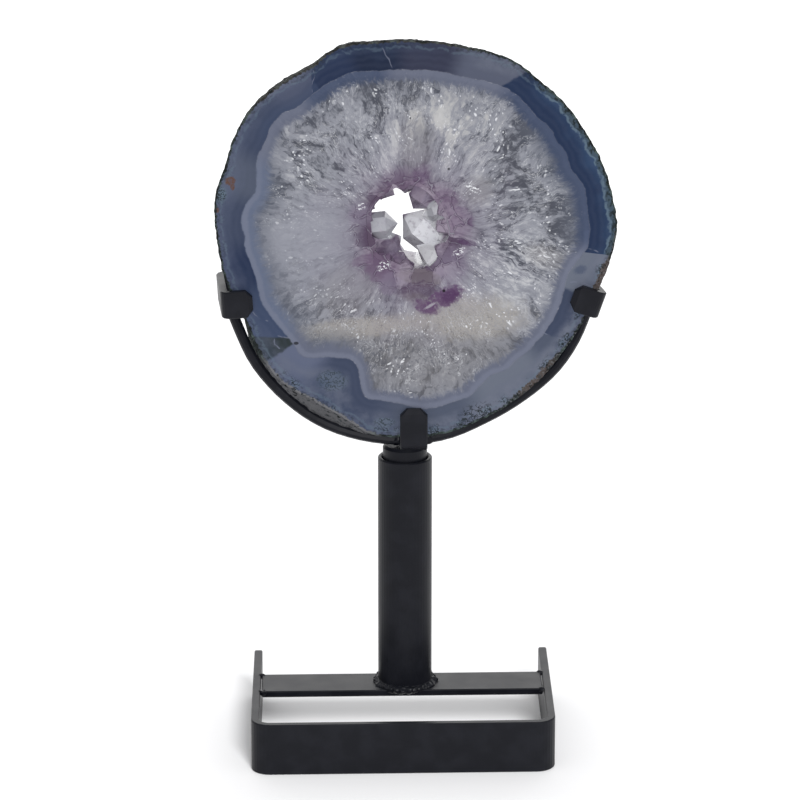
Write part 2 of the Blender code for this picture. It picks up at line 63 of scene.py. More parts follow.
# Places of the sockets of nodes that have one for each type of data
VECTOR_SCALE, VECTOR_NUMBER = 3, 1
MIX_UNDER, MIX_OVER, MIX_RESULT = 6, 7, 2
ATTRIBUTE_NUMBER = 2
OBJECT_PLACE = 3
# Further outputs of noise and cells
COLOR_OUTPUT, CENTER_OUTPUT = 1, 2
MIDDLE_COLOR = (0.5, 0.5, 0.5)

Point = tuple[float, float]
Place = tuple[float, float, float]
Color = tuple[float, float, float]
Line = tuple[Point, ...]
Input = Union["Expression", float, Sequence[float]]
Paint = Union["Tone", "Expression"]


def linear(red: int, green: int, blue: int) -> Color:
    """Turn a screen colour of 0 to 255 into linear light."""
    parts = (channel / 255.0 for channel in (red, green, blue))
    return tuple(
        part / 12.92 if part <= 0.04045 else ((part + 0.055) / 1.055) ** 2.4 for part in parts)


def seen(red: int, green: int, blue: int) -> Color:
    """Paint that shows as this screen colour on an upright face in this studio."""
    return tuple(max(part - HAZE, 0.0) / LIGHT_GAIN for part in linear(red, green, blue))


class Tone(Enum):
    """Colours of the stone and its stand, as the studio shows them."""

    NAVY = seen(42, 54, 80)
    INK = seen(38, 46, 66)
    DEEP = seen(44, 54, 79)
    SLATE = seen(57, 60, 78)
    STEEL_BLUE = seen(63, 74, 99)
    LAVENDER = seen(64, 72, 93)
    GREY_BLUE = seen(76, 82, 102)
    LILAC = seen(81, 88, 105)
    ASH = seen(87, 92, 109)
    PALE = seen(110, 115, 130)
    MILK = seen(106, 112, 126)
    MOSS = seen(50, 57, 60)
    SEA = seen(62, 84, 115)
    TEAL = seen(106, 124, 138)
    HAZE_BLUE = seen(96, 103, 125)
    BAND_COOL = seen(68, 78, 102)
    BAND_WARM = seen(100, 105, 123)
    BAND_LEFT = seen(100, 109, 131)
    LINE_COOL = seen(84, 94, 119)
    LINE_WARM = seen(118, 123, 141)
    QUARTZ_DARK = seen(80, 82, 91)
    QUARTZ = seen(145, 147, 156)
    QUARTZ_LIGHT = seen(194, 195, 199)
    QUARTZ_COOL = seen(96, 101, 114)
    STONE_WARM = seen(128, 125, 124)
    WHITE = seen(238, 240, 244)
    PLATE_LIT_THROUGH = seen(226, 228, 233)
    CREAM = seen(190, 188, 184)
    BEIGE = seen(165, 161, 156)
    MILKY_LILAC = seen(149, 151, 163)
    VIOLET_HAZE = seen(128, 118, 138)
    FACET_DARK = seen(82, 66, 88)
    FACET_LIGHT = seen(148, 137, 153)
    FACET_GREY = seen(116, 108, 114)
    ROSE = seen(108, 90, 114)
    VIOLET = seen(94, 68, 102)
    DEEP_VIOLET = seen(74, 46, 84)
    RIND_DARK = seen(34, 38, 38)
    RIND_GREY = seen(116, 116, 120)
    RIND_GREEN = seen(80, 92, 90)
    RIND_BROWN = seen(86, 77, 75)
    RUST = seen(98, 70, 56)
    BLACK = seen(30, 30, 32)
    PAINT = seen(30, 31, 36)
    WORN_PAINT = seen(38, 39, 45)


class Expression:
    """An output socket of a material's nodes that takes part in ordinary arithmetic."""

    def __init__(self, graph: "Graph", node: bpy.types.Node, output: int = 0) -> None:
        """Wrap an output.

        Args:
            graph: The material that the node is in.
            node: The node.
            output: Which of its outputs this is.
        """
        self.graph = graph
        self.node = node
        self.socket = node.outputs[output]
        self.is_color = self.socket.type == "RGBA"
        self.has_parts = self.is_color or self.socket.type == "VECTOR"

    def output(self, index: int) -> "Expression":
        """Another output of the same node."""
        return Expression(self.graph, self.node, index)

    def _math(self, operation: str, *others: Input, reflected: bool = False) -> "Expression":
        """Join this value and others by a Math or Vector Math node.

        Args:
            operation: The node's operation.
            others: The other operands.
            reflected: Whether the first of the others stands on the left.

        Returns:
            The node's result.
        """
        operands = [
            item.as_vector() if isinstance(item, Expression) else item for item in (self, *others)]
        if reflected:
            operands.reverse()
        vectors = any(
            isinstance(item, tuple) or getattr(item, "has_parts", False) for item in operands)
        kind = "ShaderNodeVectorMath" if vectors else "ShaderNodeMath"
        factors = [item for item in operands if isinstance(item, Expression) and not item.has_parts]
        if vectors and factors and operation == "MULTIPLY":
            whole = next(item for item in operands if item is not factors[0])
            feeds = {0: whole, VECTOR_SCALE: factors[0]}
            return self.graph.node(kind, feeds, operation="SCALE")
        return self.graph.node(kind, dict(enumerate(operands)), operation=operation)

    def as_vector(self) -> "Expression":
        """A colour's channels as a vector; anything else stays as it is.

        Returns:
            A vector or a number.
        """
        if not self.is_color:
            return self
        return self.graph.vector(*(self.part(index) for index in range(3)))

    def __add__(self, other: Input) -> "Expression":
        """Add."""
        return self._math("ADD", other)

    def __radd__(self, other: Input) -> "Expression":
        """Add to a number or tuple."""
        return self._math("ADD", other, reflected=True)

    def __sub__(self, other: Input) -> "Expression":
        """Subtract."""
        return self._math("SUBTRACT", other)

    def __rsub__(self, other: Input) -> "Expression":
        """Subtract from a number or tuple."""
        return self._math("SUBTRACT", other, reflected=True)

    def __mul__(self, other: Input) -> "Expression":
        """Multiply."""
        return self._math("MULTIPLY", other)

    def __rmul__(self, other: Input) -> "Expression":
        """Multiply a number or tuple."""
        return self._math("MULTIPLY", other, reflected=True)

    def __truediv__(self, other: Input) -> "Expression":
        """Divide."""
        return self._math("DIVIDE", other)

    def __rtruediv__(self, other: Input) -> "Expression":
        """Divide a number or tuple."""
        return self._math("DIVIDE", other, reflected=True)

    def __mod__(self, other: Input) -> "Expression":
        """Remainder that stays positive."""
        return self._math("FLOORED_MODULO", other)

    def __abs__(self) -> "Expression":
        """Size without sign."""
        return self._math("ABSOLUTE")

    def max(self, other: Input) -> "Expression":
        """The greater of two."""
        return self._math("MAXIMUM", other)

    def min(self, other: Input) -> "Expression":
        """The smaller of two."""
        return self._math("MINIMUM", other)

    def sine(self) -> "Expression":
        """Sine of radians."""
        return self._math("SINE")

    def clamp(self) -> "Expression":
        """Keep within 0 and 1."""
        return self.graph.node("ShaderNodeClamp", {0: self})

    def rise(self, low: Input, high: Input) -> "Expression":
        """Go smoothly from 0 at low to 1 at high; high may be the smaller, for a fall."""
        return self.graph.node(
            "ShaderNodeMapRange", {0: self, 1: low, 2: high}, interpolation_type="SMOOTHSTEP")

    def veins(self, wide: float, thin: float) -> "Expression":
        """Thin lines where a noise passes its middle, fading from thin to wide off it."""
        return abs(self - 0.5).rise(wide, thin)

    def dot(self, other: Input) -> "Expression":
        """Dot product."""
        return self.graph.node(
            "ShaderNodeVectorMath", {0: self, 1: other}, VECTOR_NUMBER, operation="DOT_PRODUCT")

    def length(self) -> "Expression":
        """Length of a vector."""
        return self.graph.node("ShaderNodeVectorMath", {0: self}, VECTOR_NUMBER, operation="LENGTH")

    def turned(
        self, degrees: float, width: float = 1.0, height: float = 1.0
    ) -> tuple["Expression", "Expression"]:
        """Measure a flat vector in a turned frame.

        Args:
            degrees: The frame's turn.
            width: Length of its first unit.
            height: Length of its second.

        Returns:
            How far the vector goes along the frame's turn, and aside.
        """
        turn = math.radians(degrees)
        along = self.dot((math.cos(turn) / width, math.sin(turn) / width, 0.0))
        aside = self.dot((-math.sin(turn) / height, math.cos(turn) / height, 0.0))
        return along, aside

    def from_stretch(self, start: Point, end: Point) -> "Expression":
        """Measure how far a flat place is from a straight stretch.

        Args:
            start: One end of the stretch.
            end: Its other end.

        Returns:
            The distance.
        """
        run = (end[0] - start[0], end[1] - start[1], 0.0)
        away = self - (*start, 0.0)
        share = (away.dot(run) / (run[0] ** 2 + run[1] ** 2)).clamp()
        return (away - share * run).length()

    def part(self, index: int) -> "Expression":
        """X, Y or Z of a vector, or a colour's channel."""
        kind = "ShaderNodeSeparateColor" if self.is_color else "ShaderNodeSeparateXYZ"
        return self.graph.node(kind, {0: self}, index)


def total(items: Iterable[Expression]) -> Expression:
    """The sum of some values, each made only when the last is added."""
    return functools.reduce(operator.add, items)


def greatest(items: Iterable[Expression]) -> Expression:
    """The greatest of some values."""
    return functools.reduce(Expression.max, items)


class Graph:
    """The node tree of one material."""

    def __init__(self, name: str) -> None:
        """Make an empty material.

        Args:
            name: Its name.
        """
        self.material = bpy.data.materials.new(name)
        self.material.use_nodes = True
        self.tree = self.material.node_tree
        self.tree.nodes.clear()

    def feed(self, socket: bpy.types.NodeSocket, value: Input) -> None:
        """Link an expression to an input, or set the input to a constant.

        Args:
            socket: The input.
            value: What goes into it.
        """
        if isinstance(value, Expression):
            self.tree.links.new(value.socket, socket)
        elif socket.type == "VECTOR" and isinstance(value, (int, float)):
            socket.default_value = (value, value, value)
        elif socket.type == "RGBA" and len(value) == 3:
            socket.default_value = (*value, 1.0)
        else:
            socket.default_value = value

    def node(
        self, kind: str, feeds: dict[Union[int, str], Input], output: int = 0, **settings: object
    ) -> Expression:
        """Add a node.

        Args:
            kind: Its type.
            feeds: What goes into its inputs, by index or name.
            output: Which output is wanted.
            settings: Its properties.

        Returns:
            The output.
        """
        node = self.tree.nodes.new(kind)
        for name, value in settings.items():
            setattr(node, name, value)
        for key, value in feeds.items():
            self.feed(node.inputs[key], value)
        return Expression(self, node, output)

    def vector(self, x: Input, y: Input, z: Input) -> Expression:
        """Make a vector of three numbers."""
        return self.node("ShaderNodeCombineXYZ", {0: x, 1: y, 2: z})

    def attribute(self, name: str) -> Expression:
        """Read a number kept in the mesh."""
        return self.node("ShaderNodeAttribute", {}, ATTRIBUTE_NUMBER, attribute_name=name)

    def position(self) -> Expression:
        """Place on the object, in metres."""
        return self.node("ShaderNodeTexCoord", {}, OBJECT_PLACE)

    def position_from(self, middle: Place) -> tuple[Expression, Expression, Expression]:
        """Place on the object, round a middle.

        Args:
            middle: The middle, in millimetres.

        Returns:
            Millimetres to the right of it, behind it and above it.
        """
        away = (self.position() - tuple(value * MM for value in middle)) * (1.0 / MM)
        return away.part(0), away.part(1), away.part(2)

    def noise(
        self, place: Expression, scale: float, detail: float = 2.0, roughness: float = 0.5
    ) -> Expression:
        """Smooth noise round 0.5."""
        feeds = {"Vector": place, "Scale": scale, "Detail": detail, "Roughness": roughness}
        return self.node("ShaderNodeTexNoise", feeds)

    def cells(
        self, place: Expression, scale: float, feature: str = "F1", dimensions: str = "2D"
    ) -> Expression:
        """Cells: distance to the nearest point, or to the nearest edge."""
        feeds = {"Vector": place, "Scale": scale}
        return self.node(
            "ShaderNodeTexVoronoi", feeds, feature=feature, voronoi_dimensions=dimensions)

    def mix(self, under: Paint, over: Paint, amount: Input) -> Expression:
        """Lay one colour over another.

        Args:
            under: The colour below.
            over: The colour above.
            amount: How much of the one below is hidden.

        Returns:
            The colour.
        """
        under, over = (item.value if isinstance(item, Tone) else item for item in (under, over))
        feeds = {0: amount, MIX_UNDER: under, MIX_OVER: over}
        return self.node("ShaderNodeMix", feeds, MIX_RESULT, data_type="RGBA")

    def bump(self, height: Expression, distance: float, strength: float) -> Expression:
        """Normals of a fine relief."""
        feeds = {"Height": height, "Distance": distance, "Strength": strength}
        return self.node("ShaderNodeBump", feeds)

    def principled(self, inputs: dict[str, Input]) -> Expression:
        """A Principled shader."""
        return self.node("ShaderNodeBsdfPrincipled", inputs)

    def finish(
        self, shader: Expression, absorption: Optional[tuple[Color, float]] = None
    ) -> bpy.types.Material:
        """End in a shader and, for clear stuff, the light lost inside it.

        Args:
            shader: The surface.
            absorption: Colour and density of what is inside.

        Returns:
            The material.
        """
        target = self.tree.nodes.new("ShaderNodeOutputMaterial")
        self.tree.links.new(shader.socket, target.inputs["Surface"])
        if absorption is not None:
            color, density = absorption
            inside = self.node("ShaderNodeVolumeAbsorption", {"Color": color, "Density": density})
            self.tree.links.new(inside.socket, target.inputs["Volume"])
        return self.material


@dataclass(frozen=True)
class Rays:
    """A pattern drawn out along the rays from the hollow.

    fans is how fine the rays are, slow the change a millimetre along a ray, warp how crooked they
    are.
    """

    fans: float
    slow: float
    warp: float


@dataclass(frozen=True)
class Span:
    """A stretch of turns in degrees: where it begins, is full, starts to fade, and is over."""

    begin: float
    full: float
    fade: float
    over: float

    def cover(self, turn: Expression) -> Expression:
        """1 inside the stretch, 0 outside."""
        return turn.rise(self.begin, self.full) * turn.rise(self.over, self.fade)


@dataclass(frozen=True)
class Ground:
    """A place of the stone, as its layers of paint read it.

    place and flat are in millimetres round the hollow, with depth and without; radius is the
    distance from the hollow's middle; swirl is a slow drift round 0 that bends what is drawn.
    """

    graph: Graph
    place: Expression
    flat: Expression
    radius: Expression
    swirl: Expression

    def noise(self, scale: float, detail: float = 2.0, roughness: float = 0.5) -> Expression:
        """Smooth noise round 0.5 at the place."""
        return self.graph.noise(self.place, scale, detail, roughness)

    def drift(
        self, size: float, scale: float, detail: float = 2.0, roughness: float = 0.5
    ) -> Expression:
        """Smooth noise of some size round 0 at the place."""
        return (self.noise(scale, detail, roughness) - 0.5) * size

    def stretched(self, across: float, up: float) -> Expression:
        """The flat place with a scale of its own each way."""
        return self.graph.vector(self.flat.part(0) * across, self.flat.part(1) * up, 0.0)

    def near_line(self, points: Line, width: float) -> Expression:
        """How near a drawn line the place is.

        Args:
            points: The line, in millimetres round the hollow.
            width: Its half width.

        Returns:
            1 on the line, 0 beyond its width.
        """
        place = self.flat + self.swirl * LINE_STRAY
        distances = (place.from_stretch(start, end) for start, end in zip(points, points[1:]))
        return functools.reduce(Expression.min, distances).rise(width, width * LINE_CORE)


@dataclass(frozen=True)
class Patch:
    """An oval area of the face: its middle, half sizes, turn in degrees and raggedness."""

    x: float
    z: float
    half_width: float
    half_height: float
    turn: float = 0.0
    ragged: float = 0.5

    def cover(self, ground: Ground, soft: float = 0.45) -> Expression:
        """How far inside this patch a place is.

        Args:
            ground: The place.
            soft: Width of the edge as a share of the patch.

        Returns:
            1 well inside, 0 outside.
        """
        away = ground.flat - (self.x, self.z, 0.0)
        along, aside = away.turned(self.turn, self.half_width, self.half_height)
        size = ground.graph.vector(along, aside, 0.0).length()
        waves = EDGE_WAVES / min(self.half_width, self.half_height)
        edge = (ground.graph.noise(ground.flat, waves, 3.0) - 0.5) * self.ragged
        return (size + edge).rise(1.0 + soft, 1.0 - soft)


@dataclass(frozen=True)
class Stain:
    """A patch of one tone, how strongly it shows and how soft its edge is."""

    patch: Patch
    tone: Tone
    amount: float
    soft: float = 0.45

    def lay(
        self, ground: Ground, color: Expression, share: Optional[Expression] = None
    ) -> Expression:
        """Lay the stain over a colour.

        Args:
            ground: The place.
            color: The colour below.
            share: How much of the stain is left there, or None for all of it.

        Returns:
            The colour.
        """
        amount = self.patch.cover(ground, self.soft) * self.amount
        return ground.graph.mix(color, self.tone, amount if share is None else amount * share)


@dataclass(frozen=True)
class Amethyst:
    """The violet crystals round the hollow, in millimetres round its middle."""

    zone: Patch = Patch(0.7, -1.0, 22.0, 24.0, ragged=0.7)
    facet_scale: float = 0.15
    # How far the swirl moves a facet
    facet_stray: float = 12.0
    # Where the edges between facets fade out, and where they are full, from the middle
    edges_reach: Point = (26.0, 20.0)
    stains_and_highlight: tuple[Stain, ...] = (
        Stain(Patch(-4.0, 19.0, 7.0, 5.0, 0.0, 0.9), Tone.ROSE, 0.5),
        Stain(Patch(3.9, 20.8, 3.0, 4.4, -20.0, 0.8), Tone.VIOLET, 0.5),
        Stain(Patch(12.5, 11.5, 5.0, 4.2, 30.0, 0.7), Tone.ROSE, 0.65, 0.2),
        Stain(Patch(18.0, 3.4, 4.6, 6.0, 10.0, 0.6), Tone.VIOLET, 0.55, 0.2),
        Stain(Patch(20.6, -4.2, 3.4, 1.2, -10.0, 0.7), Tone.DEEP_VIOLET, 0.7, 0.3),
        Stain(Patch(14.5, -13.0, 6.0, 7.0, 0.0, 0.8), Tone.VIOLET_HAZE, 0.6),
        Stain(Patch(-10.0, -12.5, 6.4, 6.0, 30.0, 0.7), Tone.ROSE, 0.7, 0.2),
        Stain(Patch(-17.0, -10.5, 4.6, 2.0, 20.0, 0.7), Tone.ROSE, 0.6, 0.2),
        Stain(Patch(-7.5, -19.0, 3.6, 4.6, -30.0, 0.8), Tone.VIOLET_HAZE, 0.6, 0.3),
        Stain(Patch(-17.5, 6.5, 4.7, 4.4, 0.0, 0.9), Tone.VIOLET_HAZE, 0.5),
        Stain(Patch(-12.0, 13.0, 5.0, 2.6, 35.0, 0.8), Tone.FACET_DARK, 0.45, 0.3),
        Stain(Patch(3.5, -17.0, 8.0, 3.4, -12.0, 0.6), Tone.FACET_GREY, 0.6, 0.15),
        Stain(Patch(3.0, -22.4, 7.6, 3.2, 0.0, 1.2), Tone.FACET_DARK, 0.75, 0.35),
        Stain(Patch(2.5, -25.6, 5.0, 2.6, -15.0, 1.0), Tone.FACET_GREY, 0.5),
        Stain(Patch(5.6, -28.2, 5.0, 2.4, -20.0, 1.0), Tone.VIOLET, 0.85, 0.3),
        Stain(Patch(13.0, -24.4, 6.6, 3.4, 28.0, 1.6), Tone.VIOLET, 0.85, 0.3),
        Stain(Patch(14.4, -24.4, 3.6, 2.4, 28.0, 1.4), Tone.DEEP_VIOLET, 0.65),
        # Painted highlight: a white gleam of light on a cleavage in the deep violet
        Stain(Patch(7.2, -27.8, 2.2, 0.5, 30.0, 2.4), Tone.QUARTZ_LIGHT, 0.5, 0.3),
        Stain(Patch(12.2, -22.2, 0.55, 0.55, 0.0, 0.4), Tone.BLACK, 0.9, 0.2),
    )
    # Edges between crystals that stand out
    edges: tuple[Line, ...] = (
        ((12.6, 8.6), (13.0, 6.1), (15.0, -0.9), (19.1, -1.6), (23.1, -2.7)),
        ((-21.7, -12.3), (-19.2, -9.0), (-13.2, -7.4), (-12.2, -2.0)),
        ((-15.2, 12.6), (-14.7, 13.8), (-7.9, 14.6), (-5.5, 16.6)),
        ((10.1, 9.6), (12.9, 13.6), (17.6, 15.0)),
    )
    # Painted highlights: white gleams of light on facets
    painted_highlights: tuple[Patch, ...] = (
        Patch(-9.7, -12.8, 2.4, 1.6, 30.0, 1.4),
        Patch(-17.5, 9.5, 1.9, 1.1, 30.0, 1.4),
        Patch(17.5, -7.6, 2.4, 1.1, 30.0, 1.4),
        Patch(22.6, 16.0, 3.2, 1.3, -30.0, 1.4),
    )

    def paint(self, ground: Ground, under: Paint, share: Input) -> Expression:
        """Lay the violet crystals over a colour.

        Args:
            ground: The place.
            under: The colour below.
            share: How much of that colour the crystals hide.

        Returns:
            The colour.
        """
        graph = ground.graph
        spot = ground.flat + ground.swirl * self.facet_stray
        shade = self._shade(ground, spot)
        facets = graph.mix(Tone.FACET_DARK, Tone.FACET_LIGHT, shade.rise(-0.1, 1.0))
        color = graph.mix(under, facets, share)
        darker = (0.95 - (shade - 0.4) * 0.6).clamp()
        # Violet and grey stains, and one painted highlight
        for stain in self.stains_and_highlight:
            color = stain.lay(ground, color, darker)
        color = self._edge(ground, spot, color)
        # Painted highlights of light on the facets, in streaks
        highlight_streaks = graph.noise(ground.stretched(0.8, 1.5), 0.9, 3.0, 0.8).rise(0.52, 0.58)
        for highlight in self.painted_highlights:
            color = graph.mix(color, Tone.WHITE, highlight.cover(ground, 0.3) * highlight_streaks)
        return color

    def _shade(self, ground: Ground, spot: Expression) -> Expression:
        """How light a facet is: by chance, by its lit side and by the clouds in it.

        Args:
            ground: The place.
            spot: The place as the facets have it.

        Returns:
            The shade, about 0 to 1.
        """
        facet = ground.graph.cells(spot, self.facet_scale)
        chance, center = facet.output(COLOR_OUTPUT), facet.output(CENTER_OUTPUT)
        lit = (spot - center).dot(chance - MIDDLE_COLOR) * 0.2
        streak = ground.graph.noise(ground.stretched(0.5, 1.2), 1.0, 4.0, 0.65)
        shade = (chance.part(2) - 0.5) * 1.5 + lit * 1.5 + ground.drift(1.6, 0.5, 4.0, 0.65)
        return shade + ((streak - 0.5) + 0.45)

    def _edge(self, ground: Ground, spot: Expression, color: Expression) -> Expression:
        """Draw the edges between facets.

        Args:
            ground: The place.
            spot: The place as the facets have it.
            color: The colour below.

        Returns:
            The colour.
        """
        graph = ground.graph
        edges = graph.cells(spot, self.facet_scale, "DISTANCE_TO_EDGE")
        broken = ground.noise(0.3).rise(0.42, 0.52) * ground.radius.rise(*self.edges_reach)
        color = graph.mix(color, Tone.QUARTZ, edges.rise(0.025, 0.01) * broken * 0.35)
        dark = edges.rise(0.12, 0.03) * edges.rise(0.015, 0.03)
        color = graph.mix(color, Tone.FACET_DARK, dark * broken * 0.75)
        for line in self.edges:
            color = graph.mix(color, Tone.FACET_DARK, ground.near_line(line, 0.6) * 0.45)
            color = graph.mix(color, Tone.QUARTZ, ground.near_line(line, 0.28) * 0.6)
        return color


@dataclass(frozen=True)
class FaceGround(Ground):
    """A place of the slab, with the rays, turns and rings of its face.

    heading points away from the hollow; turn is in degrees from the right, against the clock;
    band and rim are the distances outside the agate band's inner edge and inside the rim, both in
    millimetres, and rim is negative on the skin.
    """

    heading: Expression
    turn: Expression
    band: Expression
    rim: Expression

    def around(self, start: float = 0.0) -> Expression:
        """Turn from a start, 0 to 360 degrees."""
        return (self.turn - start) % FULL_TURN

    def rays(self, rays: Rays) -> Expression:
        """Places drawn out along the rays from the hollow.

        Args:
            rays: How they are drawn out.

        Returns:
            Coordinates for noise or cells of scale 1.
        """
        around = self.heading * rays.fans
        spread = self.graph.vector(around.part(0), around.part(1), self.radius * rays.slow)
        return spread + self.swirl * rays.warp


@dataclass(frozen=True)
class Blend:
    """Where the quartz and the agate band blend far instead of meeting at an edge."""

    start: float = -10.0
    spans: tuple[Span, ...] = (Span(0.0, 8.0, 44.0, 62.0), Span(152.0, 172.0, 246.0, 262.0))

    def cover(self, ground: FaceGround) -> Expression:
        """1 where they blend far, 0 elsewhere."""
        turn = ground.around(self.start)
        return total(span.cover(turn) for span in self.spans)


@dataclass(frozen=True)
class QuartzFinish:
    """Grey-white crystals that radiate from the hollow, in millimetres round it."""

    # Layers of crystals side by side, and how strongly each shows
    shards: tuple[tuple[Rays, float], ...] = (
        (Rays(7.0, 0.06, 2.0), 0.34),
        (Rays(18.0, 0.2, 3.5), 0.42),
        (Rays(40.0, 0.5, 5.0), 0.34),
    )
    # Layers of streaks: their detail and roughness as noise, and how strongly each shows
    streaks: tuple[tuple[Rays, float, float, float], ...] = (
        (Rays(10.0, 0.06, 2.5), 5.0, 0.6, 1.2),
        (Rays(48.0, 0.2, 5.0), 4.0, 0.7, 1.0),
    )
    # Patches that are lighter or darker, and by how much
    shades: tuple[tuple[Patch, float], ...] = (
        (Patch(16.0, 43.0, 15.0, 11.0, ragged=0.7), 0.25),
        (Patch(17.0, 27.0, 9.0, 10.0, -20.0, 0.8), 0.2),
        (Patch(26.0, 16.0, 5.0, 10.0, -20.0, 0.9), 0.3),
        (Patch(-6.4, 38.0, 2.4, 13.0, ragged=1.2), 0.4),
        (Patch(3.0, 30.0, 6.0, 10.0, ragged=0.9), -0.12),
        (Patch(-22.0, 34.0, 14.0, 12.0, 20.0, 0.9), 0.1),
        (Patch(42.0, 27.0, 19.0, 13.0, 40.0, 0.8), -0.24),
        (Patch(56.0, 4.0, 8.0, 10.0, ragged=0.9), -0.25),
        (Patch(-34.0, 33.0, 12.0, 7.0, 40.0, 0.9), -0.14),
        (Patch(30.0, -26.0, 13.0, 11.0, 20.0, 0.9), 0.22),
        (Patch(44.0, -30.0, 11.0, 11.0, 20.0, 0.9), 0.2),
        (Patch(45.0, -12.0, 19.0, 9.0, -16.0, 0.9), 0.16),
        (Patch(34.0, -3.0, 10.0, 5.0, 0.0, 0.9), -0.25),
        (Patch(7.0, 46.0, 8.0, 10.0, ragged=0.9), 0.2),
        (Patch(-32.0, 0.0, 9.0, 12.0, ragged=0.9), 0.15),
        (Patch(-32.0, -28.0, 15.0, 7.0, -30.0, 0.9), -0.15),
        (Patch(-2.0, 52.0, 14.0, 6.0, ragged=0.8), -0.25),
    )
    # Patches that are warmer and duller
    browns: tuple[Stain, ...] = (
        Stain(Patch(2.0, -46.0, 38.0, 15.0, ragged=0.7), Tone.STONE_WARM, 0.4, 0.4),
        Stain(Patch(2.0, 32.0, 6.0, 12.0, ragged=0.9), Tone.STONE_WARM, 0.35, 0.5),
        Stain(Patch(24.0, 15.0, 6.0, 5.0, 30.0, 0.9), Tone.STONE_WARM, 0.4, 0.5),
        Stain(Patch(-22.0, -22.0, 12.0, 9.0, 20.0, 0.9), Tone.STONE_WARM, 0.3, 0.5),
        Stain(Patch(50.0, -10.0, 9.0, 4.0, -20.0, 0.9), Tone.STONE_WARM, 0.45, 0.5),
    )
    # The milky part at the left, where the grain is faint
    milky: Patch = Patch(-34.0, -8.0, 21.0, 20.0)
    # The creamy part above
    creamy: Patch = Patch(14.0, 42.0, 20.0, 15.0)
    # The tufts at the right: where they are, which way their fibres lean in degrees, how fast
    # the fibres change along and aside, and how far the swirl moves them
    tufts: Patch = Patch(46.0, -11.5, 20.0, 8.5, -16.0, 0.9)
    tufts_lean: float = -28.0
    strands: Point = (0.08, 0.8)
    strands_stray: Point = (2.0, 6.0)
    # The sandy stripe, and the mottles below it
    sandy: tuple[Patch, ...] = (
        Patch(-19.0, -36.0, 25.0, 3.8, 6.0, 0.8), Patch(22.0, -32.0, 19.0, 8.0, 0.0, 0.9))
    mottled: Patch = Patch(-2.0, -47.5, 27.0, 8.0, ragged=0.9)
    feathers: Rays = Rays(42.0, 0.22, 7.0)
    # Painted glints: light caught by small cleavages, and the chance that a cell is none
    glints: tuple[Rays, ...] = (Rays(40.0, 0.45, 7.0), Rays(64.0, 1.2, 7.0))
    glint_rarity: float = 0.86
    blend: Blend = Blend()

    def paint(self, ground: FaceGround) -> Expression:
        """Paint the quartz.

        Args:
            ground: The place.

        Returns:
            The colour.
        """
        graph = ground.graph
        milky = self.milky.cover(ground, 0.5)
        value = self._lightness(ground, milky)
        tufts = self.tufts.cover(ground)
        fibres = self._fibres(ground)
        value += (graph.noise(fibres, 1.0, 5.0, 0.75) - 0.5) * tufts * 3.8
        value += ground.band.rise(-13.0, -5.0) * -0.12

        color = graph.mix(Tone.QUARTZ_DARK, Tone.QUARTZ, value.rise(-0.15, 0.55))
        color = graph.mix(color, Tone.QUARTZ_LIGHT, value.rise(0.5, 1.45))
        color = graph.mix(color, Tone.MILKY_LILAC, milky * 0.35)
        creamy = self.creamy.cover(ground, 0.5)
        color = graph.mix(color, Tone.CREAM, creamy * value.rise(0.4, 1.2) * 0.5)
        for brown in self.browns:
            color = brown.lay(ground, color)
        color = self._sand(ground, color)

        feathers = graph.noise(ground.rays(self.feathers), 1.0).veins(0.03, 0.008)
        swarm = graph.noise(ground.place + 20.0, 0.1, 3.0).rise(0.44, 0.58)
        shown = feathers * swarm * (1.0 - milky * 0.7)
        color = graph.mix(color, Tone.QUARTZ_LIGHT, shown * 0.6)
        ridges = graph.noise(fibres * 1.7, 1.0).veins(0.035, 0.01)
        color = graph.mix(color, Tone.QUARTZ_LIGHT, ridges * tufts * value.rise(0.2, 0.7) * 0.8)
        # Painted glints: white specks of light caught by small cleavages
        color = graph.mix(color, Tone.WHITE, self._glints(ground) * (0.8 - milky * 0.5))
        edge = ground.band.rise(-15.0, -3.0) * (0.25 + self.blend.cover(ground) * 0.45)
        return graph.mix(color, Tone.QUARTZ_COOL, edge)

    def _lightness(self, ground: FaceGround, milky: Expression) -> Expression:
        """How light the crystals are.

        Args:
            ground: The place.
            milky: How milky they are there.

        Returns:
            The lightness, about 0 to 1.
        """
        grain = total(self._shards(ground, rays) * amount for rays, amount in self.shards)
        for rays, detail, roughness, amount in self.streaks:
            streak = ground.graph.noise(ground.rays(rays), 1.0, detail, roughness)
            grain += (streak - 0.5) * amount
        grain += ground.drift(0.85, 0.3, 6.0, 0.72)
        grain = grain * (1.0 - milky * 0.45)
        value = 0.45 + grain + ground.drift(0.5, 0.05)
        for patch, lift in self.shades:
            value += patch.cover(ground, 0.5) * lift
        return value

    @staticmethod
    def _shards(ground: FaceGround, rays: Rays) -> Expression:
        """Crystals side by side, each of its own tone with a lit side, round 0."""
        cell = ground.graph.cells(ground.rays(rays), 1.0, dimensions="3D")
        return cell.output(COLOR_OUTPUT).part(0) - 0.5 + (0.45 - cell) * 0.5

    def _fibres(self, ground: FaceGround) -> Expression:
        """Places drawn out along the fibres of the tufts.

        Args:
            ground: The place.

        Returns:
            Coordinates for noise of scale 1.
        """
        along, aside = ground.flat.turned(self.tufts_lean)
        across = aside * self.strands[1] + ground.swirl.part(0) * self.strands_stray[1]
        down = along * self.strands[0] + ground.swirl.part(1) * self.strands_stray[0]
        return ground.graph.vector(across, down, 0.0)

